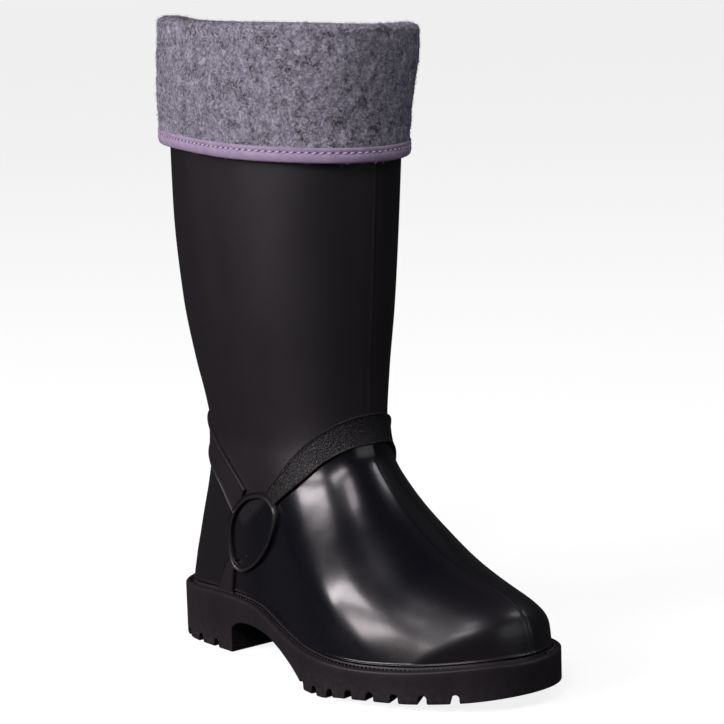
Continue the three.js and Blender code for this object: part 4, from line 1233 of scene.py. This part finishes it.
def makeLiner():
    turns = feltTurns()
    sockFace = -(last["wall"] + last["fitGap"])
    innerFace = sockFace - felt["thickness"]
    cuffBack = felt["standoff"]
    cuffFace = cuffBack + felt["thickness"]
    low = levelHeights(turns, 0, featherAt) + last["fitGap"]
    high = levelHeights(turns, 0, collarAt) + foldRiseAt(turns)
    foot = levelHeights(turns, 0, cuffFootAt)

    def faceRows(distance, start, end, shares, waving=False):
        z = start + (end - start) * shares[:, None]
        turn = np.broadcast_to(turns, z.shape)
        drop = (end - z) / felt["cuffLength"]
        away = np.full(z.shape, float(distance))
        if waving:
            hanging = felt["wave"] * np.clip(drop * 1.6, 0, 1)
            away = away + hanging * (summed(waveParts, turn, z) + 0.6) + bulgeAt(turn, z, end)
        away = away + felt["lumps"] * summed(lumpParts, turn, z) * (0.3 if distance < 0 else 1)
        return offsetPoint(turn, z, away)

    def foldRows(start, end, lift, count):
        middle, reach = (start + end) / 2, (end - start) / 2
        rows = []
        for angle in np.pi * (1 - np.arange(1, count) / count):
            swell = bulgeAt(turns, high, high) * (1 + np.cos(angle)) / 2
            point = offsetPoint(turns, high, middle + reach * np.cos(angle) + swell)
            point[:, 2] += lift * np.sin(angle)
            rows.append(point)
        return np.array(rows)

    rows = np.concatenate([
        faceRows(innerFace, low, high, levelShares(felt["insideRows"])),
        foldRows(innerFace, cuffFace, felt["foldClearance"] + felt["thickness"], felt["foldRows"]),
        faceRows(cuffFace, foot, high, np.linspace(0, 1, felt["cuffRows"]), True)[::-1],
        faceRows(cuffBack, foot, high, np.linspace(0, 1, 10), True),
        foldRows(cuffBack, sockFace, felt["foldClearance"], 5),
        faceRows(sockFace, low, high, levelShares(felt["outsideRows"]))[::-1],
    ])
    return latticePiece("feltSock", rows, feltMaterial, wrapsRows=True, sharp=70)


def makeHairs(sock):
    # hairs on the cuff and over its fold, thinner down the inside
    columns = len(feltTurns())
    shares = np.zeros(len(sock.data.vertices) // columns)
    top = felt["insideRows"] + 1
    shares[top - 12:top] = 0.5
    shares[top:top + felt["foldRows"] - 1 + felt["cuffRows"]] = 1
    markPoints(sock, "nap", np.repeat(shares, columns))
    thin, long = felt["hairRadius"], felt["hairLength"]
    points = [(along, np.cos(a) * thin + aside, np.sin(a) * thin + up)
              for along, aside, up in ((0, 0, 0), (long * 0.5, 0.0004, 0.00022)) for a in (0.5, 2.6, 4.7)]
    faces = [(2, 1, 0)] + [(k, (k + 1) % 3, 3 + (k + 1) % 3, 3 + k) for k in range(3)]
    faces += [(3 + k, 3 + (k + 1) % 3, 6) for k in range(3)]
    hair = meshPiece("hair", points + [(long * 0.9, 0.0, 0.0003)], faces, hairMaterial)
    piece = grown("feltHairs", sock, hairTree, {
        "Hairs per Square Metre": float(felt["hairs"]), "Smallest": 0.5, "Largest": 1.25, "Lift": -0.35,
        "Seed": felt["seed"], "Hair": hair, "Material": hairMaterial})
    bpy.data.objects.remove(hair)
    return piece


liner = makeLiner()
hairs = makeHairs(liner)
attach(hairs, "root")
print("hairs", len(hairs.data.polygons))
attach(liner, "root")
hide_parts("liner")
print("liner made")


def makeTape():
    turns = feltTurns()
    foot = levelHeights(turns, 0, cuffFootAt)
    outerLeg = felt["standoff"] + felt["thickness"] + last["fitGap"]
    innerLeg = felt["standoff"] - last["fitGap"]
    thick, below = tape["thickness"], last["fitGap"]
    top = tape["width"] - below
    section = [(outerLeg, top), (outerLeg, -below), (innerLeg, -below), (innerLeg, top),
               (innerLeg - thick, top), (innerLeg - thick, 1.0 - below)]
    middle = (innerLeg - thick + outerLeg + thick) / 2
    reach = (outerLeg + thick) - middle
    for angle in np.linspace(np.pi, 0, 9):
        section.append((middle + reach * np.cos(angle), -below + 1.0 - (thick + 1.0) * np.sin(angle)))
    # a puffed lower edge, the groove the stitches pull in, and a thin upper edge
    section += [(outerLeg + thick + out, lift) for out, lift in (
        (0.25, 1.5), (0.38, 2.5), (0.30, 3.5), (0.05, 4.2), (-0.3, 4.7), (-0.3, 5.2), (-0.02, 5.6),
        (0.05, 6.2), (0.05, 6.9), (-0.08, 7.35), (-0.4, top))]
    rows = [offsetPoint(turns, foot + lift, distance + waveAt(turns, foot + lift))
            for distance, lift in section]
    return latticePiece("cuffTape", np.array(rows), tapeMaterial, wrapsRows=True, sharp=60)


def tapePath(lift, out, shift=0.0):
    # a line round the tape at a height above its foot, with the direction it faces
    turns = np.linspace(0, 2 * np.pi, 720, endpoint=False) + shift
    z = levelHeights(turns, 0, cuffFootAt) + lift
    away = felt["standoff"] + felt["thickness"] + last["fitGap"] + tape["thickness"] + out + waveAt(turns, z)
    return offsetPoint(turns, z, away), bodyNormal(turns, z)


tapePiece = joined("cuffTape", [
    makeTape(),
    beadsAlong("tapeStitches", *tapePath(4.95, -0.1), tape["stitchPitch"], tape["stitchSize"],
               threadMaterial, 0.16, closed=True),
    # dark beads beside the stitches that paint the shade inside the needle holes
    beadsAlong("tapeHoles", *tapePath(5.25, -0.22, 0.027), tape["stitchPitch"], tape["holeShadeSize"],
               holeShadeMaterial, closed=True)])
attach(tapePiece, "root")
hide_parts("cuff_binding")


# the insole's edge: how far in from the sock, and how high above the body's foot
insoleRows = [(0.8, 0.0), (0.1, 0.5), (0.0, 1.5), (0.0, 2.6), (0.3, 3.4), (1.0, 3.9), (3, 4.0), (8, 4.0)]


def makeInsole():
    count = 160
    turns = np.arange(count) * 2 * np.pi / count
    edge = -(last["wall"] + last["fitGap"] + felt["thickness"] + 0.6)
    low = levelHeights(turns, 0, featherAt) + last["fitGap"]
    rows = []
    for inset, lift in insoleRows:
        point = offsetPoint(turns, low + lift, edge)
        point[:, :2] -= levelOut(point) * inset
        rows.append(point)
    grid = np.array(rows)
    index, _, _, quads = latticeQuads(len(grid), count)
    faces = quads.tolist()
    for start, isBelow in ((len(grid) - 1, False), (0, True)):
        for k in range(count // 2):
            quad = list(dict.fromkeys(int(index[start, c % count]) for c in (k, k + 1, -k - 1, -k)))
            faces.append(quad[::-1] if isBelow else quad)
    flat = grid.reshape(-1, 3) / 1000
    return meshPiece("insolePiece", flat, facingOut(flat, faces, 2 * count + 40), soleFeltMaterial, None, 60)


insole = makeInsole()
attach(insole, "root")
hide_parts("insole")
print("tape and insole made")

# Floor, light and camera

studio = {"seenBackground": 0.87, "surround": 0.035, "floorGlow": 0.85, "distance": 3.0,
          "middle": (0, -0.13, 0.07)}

bpy.ops.mesh.primitive_plane_add(size=60, location=(0, 0, 0))
floor = bpy.context.object
floor.name = "floor"
floorMaterial, floorTree, floorShader = newMaterial("paleFloor", {
    "Roughness": 0.9, "Specular IOR Level": 0.1, "Emission Color": (1, 1, 1, 1)})
floorSeen = addNode(floorTree, "ShaderNodeLightPath").outputs["Is Camera Ray"]
floorTree.links.new(mixColour(floorTree, floorSeen, (0.05, 0.05, 0.05, 1), (0.30, 0.30, 0.30, 1)),
                    floorShader.inputs["Base Color"])
floorTree.links.new(mathNode(floorTree, "MULTIPLY", floorSeen, studio["floorGlow"]),
                    floorShader.inputs["Emission Strength"])
floor.data.materials.append(floorMaterial)

world = bpy.data.worlds.new("studio")
bpy.context.scene.world = world
world.use_nodes = True
background = world.node_tree.nodes["Background"]
background.inputs["Color"].default_value = (1, 1, 1, 1)
skySeen = addNode(world.node_tree, "ShaderNodeLightPath").outputs["Is Camera Ray"]
strength = rangeNode(world.node_tree, skySeen, 0.0, 1.0, studio["surround"], studio["seenBackground"])
world.node_tree.links.new(strength, background.inputs["Strength"])
bpy.context.scene.view_settings.view_transform = "Standard"


def softbox(name, azimuth, elevation, wide, high, glow, colour, spin=0):
    # azimuth 0 is in front of the toe and negative on the outer side; angles are degrees seen from the boot
    azimuth, elevation = np.radians(azimuth), np.radians(elevation)
    away = Vector((np.sin(azimuth) * np.cos(elevation), -np.cos(azimuth) * np.cos(elevation),
                   np.sin(elevation)))
    data = bpy.data.lights.new(name, "AREA")
    data.shape = "RECTANGLE"
    data.size = 2 * studio["distance"] * np.tan(np.radians(wide) / 2)
    data.size_y = 2 * studio["distance"] * np.tan(np.radians(high) / 2)
    data.energy = np.pi * data.size * data.size_y * glow
    data.color = colour
    light = bpy.data.objects.new(name, data)
    light.location = Vector(studio["middle"]) + away * studio["distance"]
    turned = (-away).to_track_quat("-Z", "Y") @ Quaternion((0, 0, 1), np.radians(spin))
    light.rotation_euler = turned.to_euler()
    bpy.context.scene.collection.objects.link(light)


for box in (
    ("outerWindow", -108, 27, 32, 9, 21.0, (1.0, 0.93, 0.97), 47),
    ("lowWindow", -94, 20, 26, 6, 19.0, (1.0, 0.92, 0.94), 42),
    ("frontWindow", -60, 42, 24, 9, 13.0, (1.0, 0.94, 0.98)),
    ("strapWindow", -58, 57, 11, 9, 11.0, (1.0, 0.94, 0.98)),
    ("innerWindow", 46, 48, 10, 13, 9.0, (0.95, 0.95, 1.0)),
    ("frontFill", 12, 17, 36, 22, 1.2, (0.97, 0.97, 1.0)),
    ("innerFill", 80, 48, 50, 40, 0.05, (0.97, 0.96, 1.0)),
):
    softbox(*box)

view = {"target": (0, -0.0652), "azimuth": -38.03, "distance": 1.341, "height": 0.3866,
        "aim": (0.018, -0.092, 0.1692), "roll": -1.75, "lens": 118.48}


def makeCamera():
    azimuth = np.radians(view["azimuth"])
    place = Vector((view["target"][0] + np.sin(azimuth) * view["distance"],
                    view["target"][1] - np.cos(azimuth) * view["distance"], view["height"]))
    data = bpy.data.cameras.new("camera")
    data.lens, data.sensor_width = view["lens"], 36
    camera = bpy.data.objects.new("camera", data)
    camera.location = place
    turned = (Vector(view["aim"]) - place).to_track_quat("-Z", "Y")
    camera.rotation_mode = "QUATERNION"
    camera.rotation_quaternion = turned @ Quaternion((0, 0, 1), np.radians(view["roll"]))
    bpy.context.scene.collection.objects.link(camera)
    bpy.context.scene.camera = camera


makeCamera()
print("stage made")
